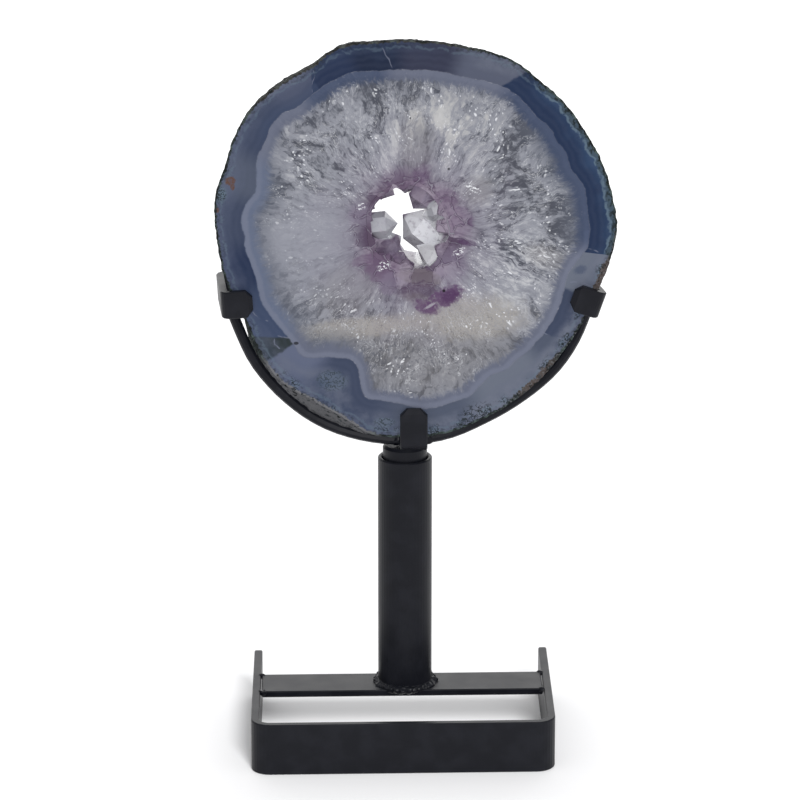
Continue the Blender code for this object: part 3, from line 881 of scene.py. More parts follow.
    def _sand(self, ground: FaceGround, color: Expression) -> Expression:
        """Lay the sandy stripe and the mottles.

        Args:
            ground: The place.
            color: The colour below.

        Returns:
            The colour.
        """
        graph = ground.graph
        grains = ground.noise(1.5, 4.0, 0.75).rise(0.26, 0.58)
        for patch in self.sandy:
            color = graph.mix(color, Tone.BEIGE, patch.cover(ground) * grains * 0.85)
        mottles = self.mottled.cover(ground) * ground.noise(0.6, 5.0, 0.7).rise(0.46, 0.66)
        return graph.mix(color, Tone.QUARTZ_DARK, mottles * 0.75)

    def _glints(self, ground: FaceGround) -> Expression:
        """Painted glints of light caught by small cleavages, in swarms.

        Args:
            ground: The place.

        Returns:
            1 on a glint, 0 elsewhere.
        """
        swarm = ground.noise(0.11, 3.0).rise(0.47, 0.6)
        return greatest(self._glint(ground, rays) * swarm for rays in self.glints)

    def _glint(self, ground: FaceGround, rays: Rays) -> Expression:
        """One layer of painted glints.

        Args:
            ground: The place.
            rays: How the layer is drawn out.

        Returns:
            1 on a glint, 0 elsewhere.
        """
        cell = ground.graph.cells(ground.rays(rays), 1.0, dimensions="3D")
        chance = cell.output(COLOR_OUTPUT).part(0)
        chosen = chance.rise(self.glint_rarity, self.glint_rarity + 0.03)
        return cell.rise(0.5, 0.25) * chosen


@dataclass(frozen=True)
class PaleLayer:
    """The pale layer between quartz and agate: blue in places, milky elsewhere."""

    start: float = -10.0
    blue: tuple[Span, ...] = (Span(0.0, 8.0, 62.0, 72.0), Span(104.0, 112.0, 134.0, 142.0))
    left: Span = Span(158.0, 168.0, 226.0, 236.0)
    width: float = 4.0
    # How far its inner edge is soft, and the fibres that fray it
    soft: float = 1.5
    fray: float = 5.0
    fibres: Rays = Rays(52.0, 0.2, 6.0)
    blend: Blend = Blend()

    def tone(self, ground: FaceGround) -> Expression:
        """The layer's colour.

        Args:
            ground: The place.

        Returns:
            The colour.
        """
        turn = ground.around(self.start)
        blue = total(span.cover(turn) for span in self.blue)
        milky = ground.graph.mix(Tone.BAND_WARM, Tone.BAND_LEFT, self.left.cover(turn))
        return ground.graph.mix(milky, Tone.BAND_COOL, blue)

    def lay(self, ground: FaceGround, color: Expression) -> Expression:
        """Lay the layer and the lighter line at its outer edge.

        Args:
            ground: The place.
            color: The colour below.

        Returns:
            The colour.
        """
        graph, band = ground.graph, ground.band
        hatch = graph.noise(ground.rays(self.fibres), 1.0, 3.0, 0.6)
        depth = band + (hatch - 0.5) * self.fray
        start = -self.width - self.soft - self.blend.cover(ground) * self.soft
        inside = depth.rise(start, -self.width + self.soft) * band.rise(0.2, -0.2)
        color = graph.mix(color, self.tone(ground), inside * 0.92)

        edge = band.rise(-2.6, -1.2) * band.rise(0.2, -0.5)
        lower = ground.around().rise(150.0, 175.0)
        turn = ground.around(self.start)
        blue = total(span.cover(turn) for span in self.blue)
        line = graph.mix(Tone.LINE_WARM, Tone.LINE_COOL, blue)
        return graph.mix(color, line, edge * (0.25 + lower * 0.35))


@dataclass(frozen=True)
class Sector:
    """Part of the agate band from a turn on: where in degrees, how soft, its tone, its tilt."""

    start: float
    softness: float
    tone: Tone
    tilt: float = 0.0


@dataclass(frozen=True)
class AgateFinish:
    """The slate-blue band between quartz and rind, broken by faults; turns are in degrees."""

    first_fault: float = -7.4
    first_tone: Tone = Tone.NAVY
    # Distance from the hollow where the sectors start at their own turns, whatever their tilt
    middle_radius: float = 67.0
    sectors: tuple[Sector, ...] = (
        Sector(56.7, 0.5, Tone.ASH, 0.43),
        Sector(75.0, 4.0, Tone.SLATE),
        Sector(93.0, 4.0, Tone.INK),
        Sector(108.0, 3.0, Tone.DEEP),
        Sector(121.6, 0.3, Tone.GREY_BLUE, 0.53),
        Sector(134.0, 5.0, Tone.LAVENDER),
        Sector(154.0, 4.0, Tone.LILAC),
        Sector(168.0, 4.0, Tone.LAVENDER),
        Sector(185.0, 5.0, Tone.DEEP),
        Sector(200.0, 4.0, Tone.STEEL_BLUE),
        Sector(215.6, 0.6, Tone.MOSS, 0.73),
        Sector(223.5, 0.5, Tone.HAZE_BLUE, 0.15),
        Sector(237.0, 4.0, Tone.LAVENDER),
        Sector(263.0, 7.0, Tone.LILAC),
        Sector(290.0, 6.0, Tone.MILK),
        Sector(314.0, 4.0, Tone.LILAC),
        Sector(323.0, 0.6, Tone.LAVENDER, -0.25),
        Sector(339.0, 0.7, Tone.MILK),
    )
    # Parts of the band, as turns from the first fault
    right_end: Point = (60.0, 54.0)
    top: Span = Span(62.0, 66.0, 74.0, 82.0)
    beyond_top: Point = (85.0, 100.0)
    upper: Span = Span(128.6, 129.4, 148.0, 162.0)
    left: Span = Span(125.0, 132.0, 215.0, 235.0)
    lower_left_start: Point = (222.0, 230.0)
    crumbs_start: Point = (232.0, 240.0)
    lower_start: Point = (272.0, 290.0)
    pale: PaleLayer = PaleLayer()

    def paint(self, ground: FaceGround) -> Expression:
        """Paint the band.

        Args:
            ground: The place.

        Returns:
            The colour.
        """
        around = ground.around(self.first_fault)
        color = self._sectors(ground, around)
        color = self._clouds(ground, around, color)
        color = self._fringe(ground, around, color)
        return ground.graph.mix(color, self.pale.tone(ground), ground.band.rise(0.6, -0.3) * 0.5)

    def _sectors(self, ground: FaceGround, around: Expression) -> Expression:
        """The band's tones from fault to fault.

        Args:
            ground: The place.
            around: Its turn from the first fault.

        Returns:
            The colour.
        """
        wander = ground.drift(1.2, 0.5)
        beyond = ground.radius - self.middle_radius
        color = self.first_tone
        for sector in self.sectors:
            start = sector.start - self.first_fault
            tilted = around + beyond * sector.tilt + wander
            over = tilted.rise(start - sector.softness, start + sector.softness)
            color = ground.graph.mix(color, sector.tone, over)
        return color

    def _clouds(self, ground: FaceGround, around: Expression, color: Expression) -> Expression:
        """Clouds and fine layers in the band.

        Args:
            ground: The place.
            around: Its turn from the first fault.
            color: The colour below.

        Returns:
            The colour.
        """
        graph, band = ground.graph, ground.band
        cloud = ground.noise(0.13, 4.0, 0.6)
        outward = (band + (cloud - 0.5) * 8.0).rise(2.0, 11.0)
        left = self.left.cover(around)
        color = graph.mix(color, Tone.SEA, outward * around.rise(*self.right_end) * 0.65)
        steely = outward * around.rise(*self.beyond_top) * (1.0 - left)
        color = graph.mix(color, Tone.STEEL_BLUE, steely * 0.4)
        color = graph.mix(color, Tone.HAZE_BLUE, outward * left * 0.5)
        upper = self.upper.cover(around)
        color = graph.mix(color, Tone.STEEL_BLUE, upper * band.rise(6.0, 1.0) * 0.6)
        outer = (band + (cloud - 0.5) * 9.0).rise(6.5, 10.5)
        color = graph.mix(color, Tone.PALE, upper * outer * 0.6)
        lower_left, lower = (
            around.rise(*start) for start in (self.lower_left_start, self.lower_start))
        milky = lower_left * 0.5 + lower * 0.4 + self.top.cover(around) * 0.6
        color = graph.mix(color, Tone.PALE, milky * cloud.rise(0.3, 0.68) * band.rise(2.5, 6.5))
        layers = (band * 2.4 + ground.noise(0.2) * 6.0).sine() * 0.5 + 0.5
        return graph.mix(color, Tone.HAZE_BLUE, layers * 0.07)

    def _fringe(self, ground: FaceGround, around: Expression, color: Expression) -> Expression:
        """The wavy line, moss and crumbs beside the rind.

        Args:
            ground: The place.
            around: Its turn from the first fault.
            color: The colour below.

        Returns:
            The colour.
        """
        graph = ground.graph
        right = around.rise(*self.right_end)
        waves = ground.rim + ground.drift(3.6, 0.22) + (ground.noise(0.8) - 0.5)
        line = waves.rise(3.3, 2.7) * waves.rise(1.9, 2.4)
        color = graph.mix(color, Tone.RIND_GREEN, waves.rise(2.8, 1.6) * right * 0.5)
        faint = ground.noise(0.4).rise(0.36, 0.52)
        color = graph.mix(color, Tone.TEAL, line * faint * (0.25 + right * 0.4))
        moss = ground.noise(0.55, 4.0, 0.65).rise(0.5, 0.56) * waves.rise(2.4, 1.4)
        color = graph.mix(color, Tone.RIND_DARK, moss * (0.4 + right * 0.4))
        clusters = ground.noise(0.16).rise(0.5, 0.58) * ground.rim.rise(5.0, 2.0)
        clusters = clusters * (around.rise(*self.crumbs_start) * 0.8 + 0.2)
        crumbs = ground.noise(0.7, 3.0).veins(0.06, 0.025)
        color = graph.mix(color, Tone.RIND_DARK, clusters * crumbs * 0.9)
        return graph.mix(color, Tone.TEAL, clusters * (1.0 - crumbs) * 0.25)


@dataclass(frozen=True)
class FaceMarks:
    """Cracks, plumes and spots of the face, in millimetres round the hollow."""

    plumes: tuple[Patch, ...] = (
        Patch(-28.4, -55.9, 5.2, 3.8, -10.0, 0.7), Patch(-9.5, -72.0, 3.8, 1.9, 0.0, 0.7))
    knot: Patch = Patch(23.4, -69.0, 6.0, 3.4, 30.0, 0.9)
    blue_spot: Stain = Stain(Patch(61.6, -14.7, 2.2, 1.5, 20.0, 0.9), Tone.STEEL_BLUE, 0.55)
    crumbly: tuple[Patch, ...] = (
        Patch(-50.5, -53.0, 2.0, 5.0, 40.0, 1.2), Patch(56.4, -45.6, 1.4, 7.0, -38.0, 1.2))
    cracks: tuple[Line, ...] = (
        ((-9.9, 67.0), (-7.6, 63.4), (-6.5, 60.6)),
        ((47.3, -37.2), (53.0, -39.0), (59.0, -41.5)),
        ((63.4, -6.2), (66.5, -7.6), (69.5, -9.6), (71.6, -11.2)),
        ((58.2, -16.0), (58.4, -19.2), (62.0, -19.0), (65.3, -20.4)),
        ((-49.6, -37.2), (-45.8, -38.4), (-41.8, -40.3)),
        ((-49.2, -37.4), (-49.8, -41.4), (-47.9, -43.6)),
        ((-57.0, -29.6), (-54.0, -32.4), (-50.0, -33.6)),
        ((-35.6, 61.6), (-34.2, 58.0), (-35.4, 54.6), (-34.4, 50.4)),
    )
    crack_width: float = 0.34
    crack_pit: Stain = Stain(Patch(-41.4, -41.5, 0.9, 0.6, 0.0, 0.5), Tone.BLACK, 0.8, 0.2)
    green: Patch = Patch(-68.8, 14.6, 2.6, 2.8, 30.0, 0.9)
    rusts: tuple[Patch, ...] = (
        Patch(-64.6, 19.3, 1.9, 1.6, 20.0, 1.0),
        Patch(-63.8, 17.2, 0.8, 1.3, 0.0, 0.8),
        Patch(-69.4, 8.6, 0.7, 1.0, 0.0, 0.8),
    )
    specks: tuple[Stain, ...] = (
        Stain(Patch(0.0, 42.0, 0.4, 0.4), Tone.BLACK, 0.8, 0.3),
        Stain(Patch(13.8, 23.2, 0.45, 0.45), Tone.BLACK, 0.8, 0.3),
    )

    def lay(self, ground: FaceGround, color: Expression) -> Expression:
        """Lay all the marks over the face.

        Args:
            ground: The place.
            color: The colour below.

        Returns:
            The colour.
        """
        color = self._plumes(ground, color)
        for crack in self.cracks:
            shown = ground.near_line(crack, self.crack_width) * 0.6
            color = ground.graph.mix(color, Tone.LINE_WARM, shown)
        color = self.crack_pit.lay(ground, color)
        color = self._spots(ground, color)
        for speck in self.specks:
            color = speck.lay(ground, color)
        return color

    def _plumes(self, ground: FaceGround, color: Expression) -> Expression:
        """Mossy plumes, the knot of threads, the blue spot and the crumbly places.

        Args:
            ground: The place.
            color: The colour below.

        Returns:
            The colour.
        """
        graph = ground.graph
        plume = greatest(patch.cover(ground, 0.25) for patch in self.plumes)
        threads = ground.noise(0.62).veins(0.05, 0.02)
        color = graph.mix(color, Tone.TEAL, plume * 0.2)
        color = graph.mix(color, Tone.MOSS, plume * threads * 0.75)
        color = graph.mix(color, Tone.RIND_DARK, self.knot.cover(ground, 0.3) * threads * 0.85)
        color = self.blue_spot.lay(ground, color)
        crumbs = ground.noise(0.9, 4.0, 0.7).rise(0.5, 0.57)
        for patch in self.crumbly:
            color = graph.mix(color, Tone.RIND_DARK, patch.cover(ground) * crumbs * 0.8)
        return color

    def _spots(self, ground: FaceGround, color: Expression) -> Expression:
        """The green spot and the rust.

        Args:
            ground: The place.
            color: The colour below.

        Returns:
            The colour.
        """
        graph = ground.graph
        color = graph.mix(color, Tone.TEAL, self.green.cover(ground, 0.5) * 0.6)
        grains = ground.noise(1.3, 3.0, 0.7).rise(0.46, 0.55)
        color = graph.mix(color, Tone.RIND_DARK, self.green.cover(ground, 0.2) * grains * 0.9)
        rust = greatest(patch.cover(ground, 0.2) for patch in self.rusts)
        return graph.mix(color, Tone.RUST, rust * (0.55 + grains * 0.35))


@dataclass(frozen=True)
class RindFinish:
    """The rough skin: dark green, grey below left, brown at the right and top.

    The spans are turns in degrees.
    """

    grey: Span = Span(219.0, 226.0, 256.0, 264.0)
    browns: tuple[Span, ...] = (Span(336.0, 341.0, 350.0, 353.0), Span(300.0, 306.0, 314.0, 320.0))
    brown_top: Span = Span(62.0, 76.0, 135.0, 150.0)

    def paint(self, ground: FaceGround) -> Expression:
        """Paint the rind.

        Args:
            ground: The place.

        Returns:
            The colour.
        """
        graph, turn = ground.graph, ground.around()
        rough = ground.noise(0.35, 5.0, 0.65)
        color = graph.mix(Tone.RIND_DARK, Tone.RIND_GREEN, rough.rise(0.45, 0.66))
        grey = self.grey.cover(turn) * rough.rise(0.36, 0.46)
        color = graph.mix(color, Tone.RIND_GREY, grey * 0.9)
        brown = total(span.cover(turn) for span in self.browns)
        brown += self.brown_top.cover(turn) * 0.35
        color = graph.mix(color, Tone.RIND_BROWN, brown * rough.rise(0.38, 0.5) * 0.85)
        flakes = ground.noise(1.1, 4.0, 0.7).rise(0.52, 0.6) * turn.rise(290.0, 300.0)
        color = graph.mix(color, Tone.RIND_GREY, flakes * 0.6)
        mossy = graph.noise(ground.place + 60.0, 0.5, 4.0).rise(0.56, 0.64)
        return graph.mix(color, Tone.MOSS, mossy * 0.6)


@dataclass(frozen=True)
class StoneFinish:
    """The whole slab: polished bands and crystals, and the rough rind."""

    middle: Place
    quartz: QuartzFinish = QuartzFinish()
    amethyst: Amethyst = Amethyst()
    agate: AgateFinish = AgateFinish()
    pale: PaleLayer = PaleLayer()
    marks: FaceMarks = FaceMarks()
    rind: RindFinish = RindFinish()
    # How far the agate band's inner edge sways, slowly and fast, in millimetres
    wobble: Point = (1.8, 0.6)
    # Violet haze round the amethyst zone, and how much of it shows
    haze: Patch = Patch(0.7, -1.0, 31.0, 33.0, ragged=0.9)
    haze_amount: float = 0.3
    # Where the rim is chipped, as turns in degrees, and how far in the chips reach
    chipped: tuple[Span, ...] = (
        Span(298.0, 304.0, 316.0, 322.0), Span(338.0, 342.0, 350.0, 353.0))
    chips: float = 1.3
    polish: float = 0.2
    roughness: float = 0.8
    relief: float = 0.6
    specular: float = 0.09

    def material(self) -> bpy.types.Material:
        """Paint the slab.

        Returns:
            The material.
        """
        graph = Graph("agate_and_amethyst")
        ground = self._ground(graph)
        face = graph.mix(
            self._crystals(ground), self.agate.paint(ground), ground.band.rise(-0.25, 0.3))
        face = self.marks.lay(ground, self.pale.lay(ground, face))
        rind = self.rind.paint(ground)
        color = graph.mix(face, rind, self._edge(ground).rise(1.0, 0.6))
        on_skin = ground.rim.rise(0.0, -0.02)
        color = graph.mix(color, rind, on_skin)
        height = ground.noise(1.4, 6.0, 0.6) * on_skin
        return graph.finish(graph.principled({
            "Base Color": color,
            "Roughness": self.polish + on_skin * (self.roughness - self.polish),
            "Normal": graph.bump(height, self.relief * MM, 1.0),
            "Specular IOR Level": self.specular,
        }))

    def _ground(self, graph: Graph) -> FaceGround:
        """What every layer reads of a place.

        Args:
            graph: The slab's material.

        Returns:
            The place.
        """
        x, depth, z = graph.position_from(self.middle)
        place = graph.vector(x, z, depth)
        flat = graph.vector(x, z, 0.0)
        radius = flat.length().max(0.1)
        bearing = graph.node("ShaderNodeMath", {0: z, 1: x}, operation="ARCTAN2")
        turn = bearing * math.degrees(1.0)
        slow, fast = graph.noise(place, 0.16) - 0.5, graph.noise(place, 0.75, 3.0) - 0.5
        wobble = slow * self.wobble[0] + fast * self.wobble[1]
        heading = flat * (1.0 / radius)
        swirl = graph.noise(place, 0.1, 3.0).output(COLOR_OUTPUT) - MIDDLE_COLOR
        band = graph.attribute("band") + wobble
        return FaceGround(
            graph, place, flat, radius, swirl, heading, turn, band, graph.attribute("rim"))

    def _crystals(self, ground: FaceGround) -> Expression:
        """The quartz, and the amethyst in its middle.

        Args:
            ground: The place.

        Returns:
            The colour.
        """
        quartz = self.quartz.paint(ground)
        zone = self.amethyst.zone.cover(ground, 0.35)
        share = zone * (0.35 + ground.radius.rise(26.0, 16.0) * 0.6)
        haze = self.haze.cover(ground, 0.5)
        under = ground.graph.mix(quartz, Tone.VIOLET_HAZE, haze * self.haze_amount)
        return self.amethyst.paint(ground, under, share)

    def _edge(self, ground: FaceGround) -> Expression:
        """Distance inside the rim, less where it is chipped.

        Args:
            ground: The place.

        Returns:
            The distance in millimetres.
        """
        turn = ground.around()
        chipped = total(span.cover(turn) for span in self.chipped)
        waves = (ground.noise(0.8, 3.0) - 0.5) * (2.0 + chipped * 2.0)
        return ground.rim + waves - chipped * self.chips


@dataclass(frozen=True)
class SliceShape:
    """The slab's measures, in millimetres round the middle of its hollow; turns in degrees."""

    middle: Place = (-2.067, -8.05, 197.1)
    thickness: float = 23.5
    sides: int = 480
    face_rings: int = 40
    back_rings: int = 26
    skin_rings: int = 14
    wall_rings: int = 6
    # Rounding of the rims, and the gap below which corners are one
    edge: float = 0.06
    seam: float = 0.002
    # The rim's chips: height, waves on a ring of radius 1 at a level, and the fractal's terms
    chips: float = 0.32
    chip_waves: float = 34.0
    chip_level: float = 0.2
    chip_fractal: tuple[float, float, int] = (1.0, 2.0, 4)
    # The skin's roughness: height, waves on a ring of this radius, and the fractal's terms
    skin_relief: float = 0.28
    skin_waves: float = 0.45
    skin_radius: float = 70.0
    skin_fractal: tuple[float, float, int] = (0.9, 2.0, 4)
    # Swelling of the skin below left, and where it is
    bulge: float = 1.3
    bulge_turn: float = 247.0
    bulge_spread: float = 17.0
    # How much narrower the hollow is than its solid's, to meet the crust
    closing: float = 0.28
    # Edges sharper than this stay sharp
    smooth_angle: float = 40.0
    # Radius between the solid's hollow and its skin, and how far a ring's depths may differ
    middle_radius: float = 40.0
    ring_depth: float = 0.02
    # Inner edge of the agate band, clockwise from the top, and the steps between two points
    band_steps: int = 4
    band_edge: Line = (
        (-6.8, 59.7), (4.6, 59.5), (12.8, 58.3), (21.0, 56.5), (29.2, 54.6), (34.6, 52.3),
        (39.1, 49.2), (44.1, 43.5), (49.4, 38.7), (52.3, 33.3), (55.2, 29.6), (57.7, 23.0),
        (61.9, 16.7), (63.7, 11.0), (64.3, 4.2), (64.7, -2.6), (63.9, -6.8), (60.0, -12.0),
        (57.0, -16.6), (56.0, -21.9), (53.6, -29.3), (49.6, -36.7), (44.0, -44.1), (38.4, -48.8),
        (34.4, -52.5), (29.2, -54.6), (24.1, -59.4), (20.5, -62.6), (11.4, -65.7), (3.7, -66.7),
        (-4.9, -64.5), (-15.1, -62.8), (-17.7, -59.5), (-18.2, -54.2), (-19.7, -49.9),
        (-23.2, -47.5), (-31.4, -46.6), (-38.6, -46.5), (-43.6, -40.2), (-47.6, -34.8),
        (-53.7, -26.2), (-55.6, -16.7), (-58.7, -8.3), (-59.8, -1.7), (-60.5, 4.1), (-59.5, 9.3),
        (-55.7, 15.4), (-55.0, 21.0), (-55.2, 27.1), (-52.3, 33.2), (-50.0, 38.8), (-45.9, 43.5),
        (-40.6, 46.4), (-35.1, 50.3), (-29.6, 54.7), (-24.2, 57.4), (-17.6, 59.1), (-11.1, 59.3),
    )


class Outline:
    """The slab's skin and hollow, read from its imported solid."""

    def __init__(self, node: bpy.types.Object, shape: SliceShape) -> None:
        """Sort the solid's corners into rings by depth, outside and inside.

        Args:
            node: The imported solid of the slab.
            shape: The slab's measures.
        """
        corners = np.array([node.matrix_world @ vert.co for vert in node.data.vertices]) / MM
        across, depth, up = (corners - np.array(shape.middle)).T
        radius = np.hypot(across, up)
        turn = np.arctan2(up, across) % math.tau
        outside = radius > shape.middle_radius
        self.depths = sorted({round(float(value), 2) for value in depth[outside]})
        self.skin = [
            self._ring(turn, radius, outside & (abs(depth - level) < shape.ring_depth))
            for level in self.depths]
        self.hollow = self._ring(turn, radius, ~outside & (abs(depth) < shape.ring_depth))

    @staticmethod
    def _ring(
        turn: np.ndarray, radius: np.ndarray, chosen: np.ndarray
    ) -> tuple[np.ndarray, np.ndarray]:
        """Pick the corners of one ring, each once.

        Args:
            turn: Turns of all corners.
            radius: Their radii.
            chosen: Whether each is in the ring.

        Returns:
            Turns and radii in the ring's order.
        """
        pairs = sorted({
            (round(float(t), 4), round(float(r), 3)) for t, r in zip(turn[chosen], radius[chosen])})
        turns, radii = np.array(pairs).T
        return turns, radii

    def hollow_radius(self, turn: np.ndarray) -> np.ndarray:
        """Radius of the hollow."""
        return np.interp(turn, *self.hollow, period=math.tau)

    def skin_radius(self, turn: np.ndarray, depth: float) -> np.ndarray:
        """Radius of the skin.

        Args:
            turn: Turns to read it at.
            depth: Distance behind the face.

        Returns:
            The radius at each turn.
        """
        upper = min(max(int(np.searchsorted(self.depths, depth)), 1), len(self.depths) - 1)
        low, high = self.depths[upper - 1], self.depths[upper]
        share = (depth - low) / (high - low)
        inner, outer = (
            np.interp(turn, *self.skin[index], period=math.tau) for index in (upper - 1, upper))
        return inner + (outer - inner) * share


def closed_curve(points: Sequence[Point], steps: int) -> np.ndarray:
    """Draw a smooth closed curve through points.

    Args:
        points: The points.
        steps: How many steps there are between two of them.

    Returns:
        The curve's corners.
    """
    corners = np.array(points)
    before, after, beyond = (np.roll(corners, shift, axis=0) for shift in (1, -1, -2))
    places = []
    for t in np.linspace(0.0, 1.0, steps, endpoint=False):
        bend = (2 * before - 5 * corners + 4 * after - beyond) * t * t
        turn = (3 * corners - before - 3 * after + beyond) * t ** 3
        places.append(0.5 * (2 * corners + (after - before) * t + bend + turn))
    return np.stack(places, axis=1).reshape(-1, 2)


def signed_distance(spots: np.ndarray, loop: np.ndarray) -> np.ndarray:
    """Measure how far spots are from a closed line.

    Args:
        spots: The spots.
        loop: The line's corners.

    Returns:
        Each spot's distance, negative inside the line.
    """
    start, end = loop, np.roll(loop, -1, axis=0)
    along = end - start
    away = spots[:, None, :] - start[None, :, :]
    share = np.clip((away * along).sum(-1) / (along ** 2).sum(-1), 0.0, 1.0)
    distance = np.linalg.norm(away - share[..., None] * along, axis=-1).min(axis=1)
    height = spots[:, 1:2]
    spans = (start[:, 1] > height) != (end[:, 1] > height)
    rise = np.where(along[:, 1] == 0.0, 1.0, along[:, 1])
    crossing = start[:, 0] + (height - start[:, 1]) * along[:, 0] / rise
    inside = (spans & (spots[:, 0:1] < crossing)).sum(axis=1) % 2 == 1
    return np.where(inside, -distance, distance)


@dataclass
class Slice:
    """The polished slab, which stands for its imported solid."""

    shape: SliceShape = field(default_factory=SliceShape)

    def build(self, node: bpy.types.Object) -> bpy.types.Object:
        """Model the slab with fine rings, so that its bands have exact edges.

        Args:
            node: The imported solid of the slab.

        Returns:
            The piece.
        """
        shape = self.shape
        rings = list(self._rings(Outline(node, shape)))
        rings.append(rings[0])
        bpy.ops.object.select_all(action="DESELECT")
        bpy.ops.mesh.primitive_grid_add(
            x_subdivisions=shape.sides, y_subdivisions=len(rings) - 1, size=shape.thickness * MM)
        piece = bpy.context.object
        piece.name = "polished_slice"
        spots = np.array([
            [(r * math.cos(t), depth, r * math.sin(t)) for t, r in zip(turns, radii)]
            for turns, radii, depth, _ in rings])
        mesh = piece.data
        mesh.vertices.foreach_set("co", ((spots + np.array(shape.middle)) * MM).ravel())
        self._keep(mesh, "rim", np.array([rim for *_, rim in rings]))
        self._keep(mesh, "band", self._band(spots))
        bpy.ops.object.mode_set(mode="EDIT")
        bpy.ops.mesh.select_all(action="SELECT")
        bpy.ops.mesh.remove_doubles(threshold=shape.seam * MM)
        bpy.ops.mesh.normals_make_consistent(inside=False)
        bpy.ops.object.mode_set(mode="OBJECT")
        bpy.ops.object.shade_smooth_by_angle(angle=math.radians(shape.smooth_angle))
        return piece

    def _rings(
        self, outline: Outline
    ) -> Iterator[tuple[np.ndarray, np.ndarray, float, np.ndarray]]:
        """Rings of the section in order: face, skin, back and wall of the hollow.

        Args:
            outline: The slab's skin and hollow.

        Yields:
            Turns, radii, depth, and distance inside the rim, which is negative on the skin.
        """
        shape = self.shape
        turns = np.arange(shape.sides + 1) % shape.sides * math.tau / shape.sides
        hollow = outline.hollow_radius(turns) - shape.closing
        rim = (Vector((math.cos(t), math.sin(t), shape.chip_level)) for t in turns)
        heights = [noise.fractal(spot * shape.chip_waves, *shape.chip_fractal) for spot in rim]
        chips = np.array(heights) * shape.chips
        front = outline.skin_radius(turns, 0.0) + chips
        back = outline.skin_radius(turns, shape.thickness) + chips
        for share in np.linspace(0.0, 1.0, shape.face_rings):
            radii = hollow + (front - hollow) * share
            yield turns, radii, 0.0, (front - hollow) * (1.0 - share)
        for share in np.linspace(0.0, 1.0, shape.skin_rings):
            depth = shape.edge + (shape.thickness - 2 * shape.edge) * float(share)
            worn = math.sin(math.pi * float(share)) ** 0.5
            radii = outline.skin_radius(turns, depth) + chips + self._rough(turns, depth) * worn
            radii += self._bulge(turns) * worn
            yield turns, radii, depth, np.full_like(turns, -min(depth, shape.thickness - depth))
        for share in np.linspace(1.0, 0.0, shape.back_rings):
            radii = hollow + (back - hollow) * share
            yield turns, radii, shape.thickness, (back - hollow) * (1.0 - share)
        for share in np.linspace(1.0, 0.0, shape.wall_rings + 2)[1:-1]:
            yield turns, hollow, shape.thickness * float(share), front - hollow

    def _rough(self, turns: np.ndarray, depth: float) -> np.ndarray:
        """Height of the skin's roughness on one ring.

        Args:
            turns: The ring's turns.
            depth: Its distance behind the face.

        Returns:
            The height at each turn.
        """
        shape = self.shape
        spots = (
            Vector((math.cos(t) * shape.skin_radius, math.sin(t) * shape.skin_radius, depth))
            for t in turns)
        heights = [noise.fractal(spot * shape.skin_waves, *shape.skin_fractal) for spot in spots]
        return np.array(heights) * shape.skin_relief

    def _bulge(self, turns: np.ndarray) -> np.ndarray:
        """Swelling of the skin below left, at its middle depth.

        Args:
            turns: The turns to read it at.

        Returns:
            The swelling at each turn.
        """
        off = abs(np.degrees(turns) - self.shape.bulge_turn) / self.shape.bulge_spread
        return self.shape.bulge * np.sin(np.clip(1.0 - off, 0.0, 1.0) * math.pi / 2.0)

    def _band(self, spots: np.ndarray) -> np.ndarray:
        """Distance from the agate band's inner edge, for every ring."""
        loop = closed_curve(self.shape.band_edge, self.shape.band_steps)
        return np.array([signed_distance(ring[:, [0, 2]], loop) for ring in spots])

    @staticmethod
    def _keep(mesh: bpy.types.Mesh, name: str, rings: np.ndarray) -> None:
        """Keep one number for each corner of the mesh."""
        layer = mesh.attributes.new(name, "FLOAT", "POINT")
        layer.data.foreach_set("value", rings.ravel().astype(np.float32))

    def dress(self, piece: bpy.types.Object) -> None:
        """Give the slab its finish and its body.

        Args:
            piece: The slab.
        """
        piece.data.materials.append(StoneFinish(self.shape.middle).material())
        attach(piece, "cradle")
        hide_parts("slice")


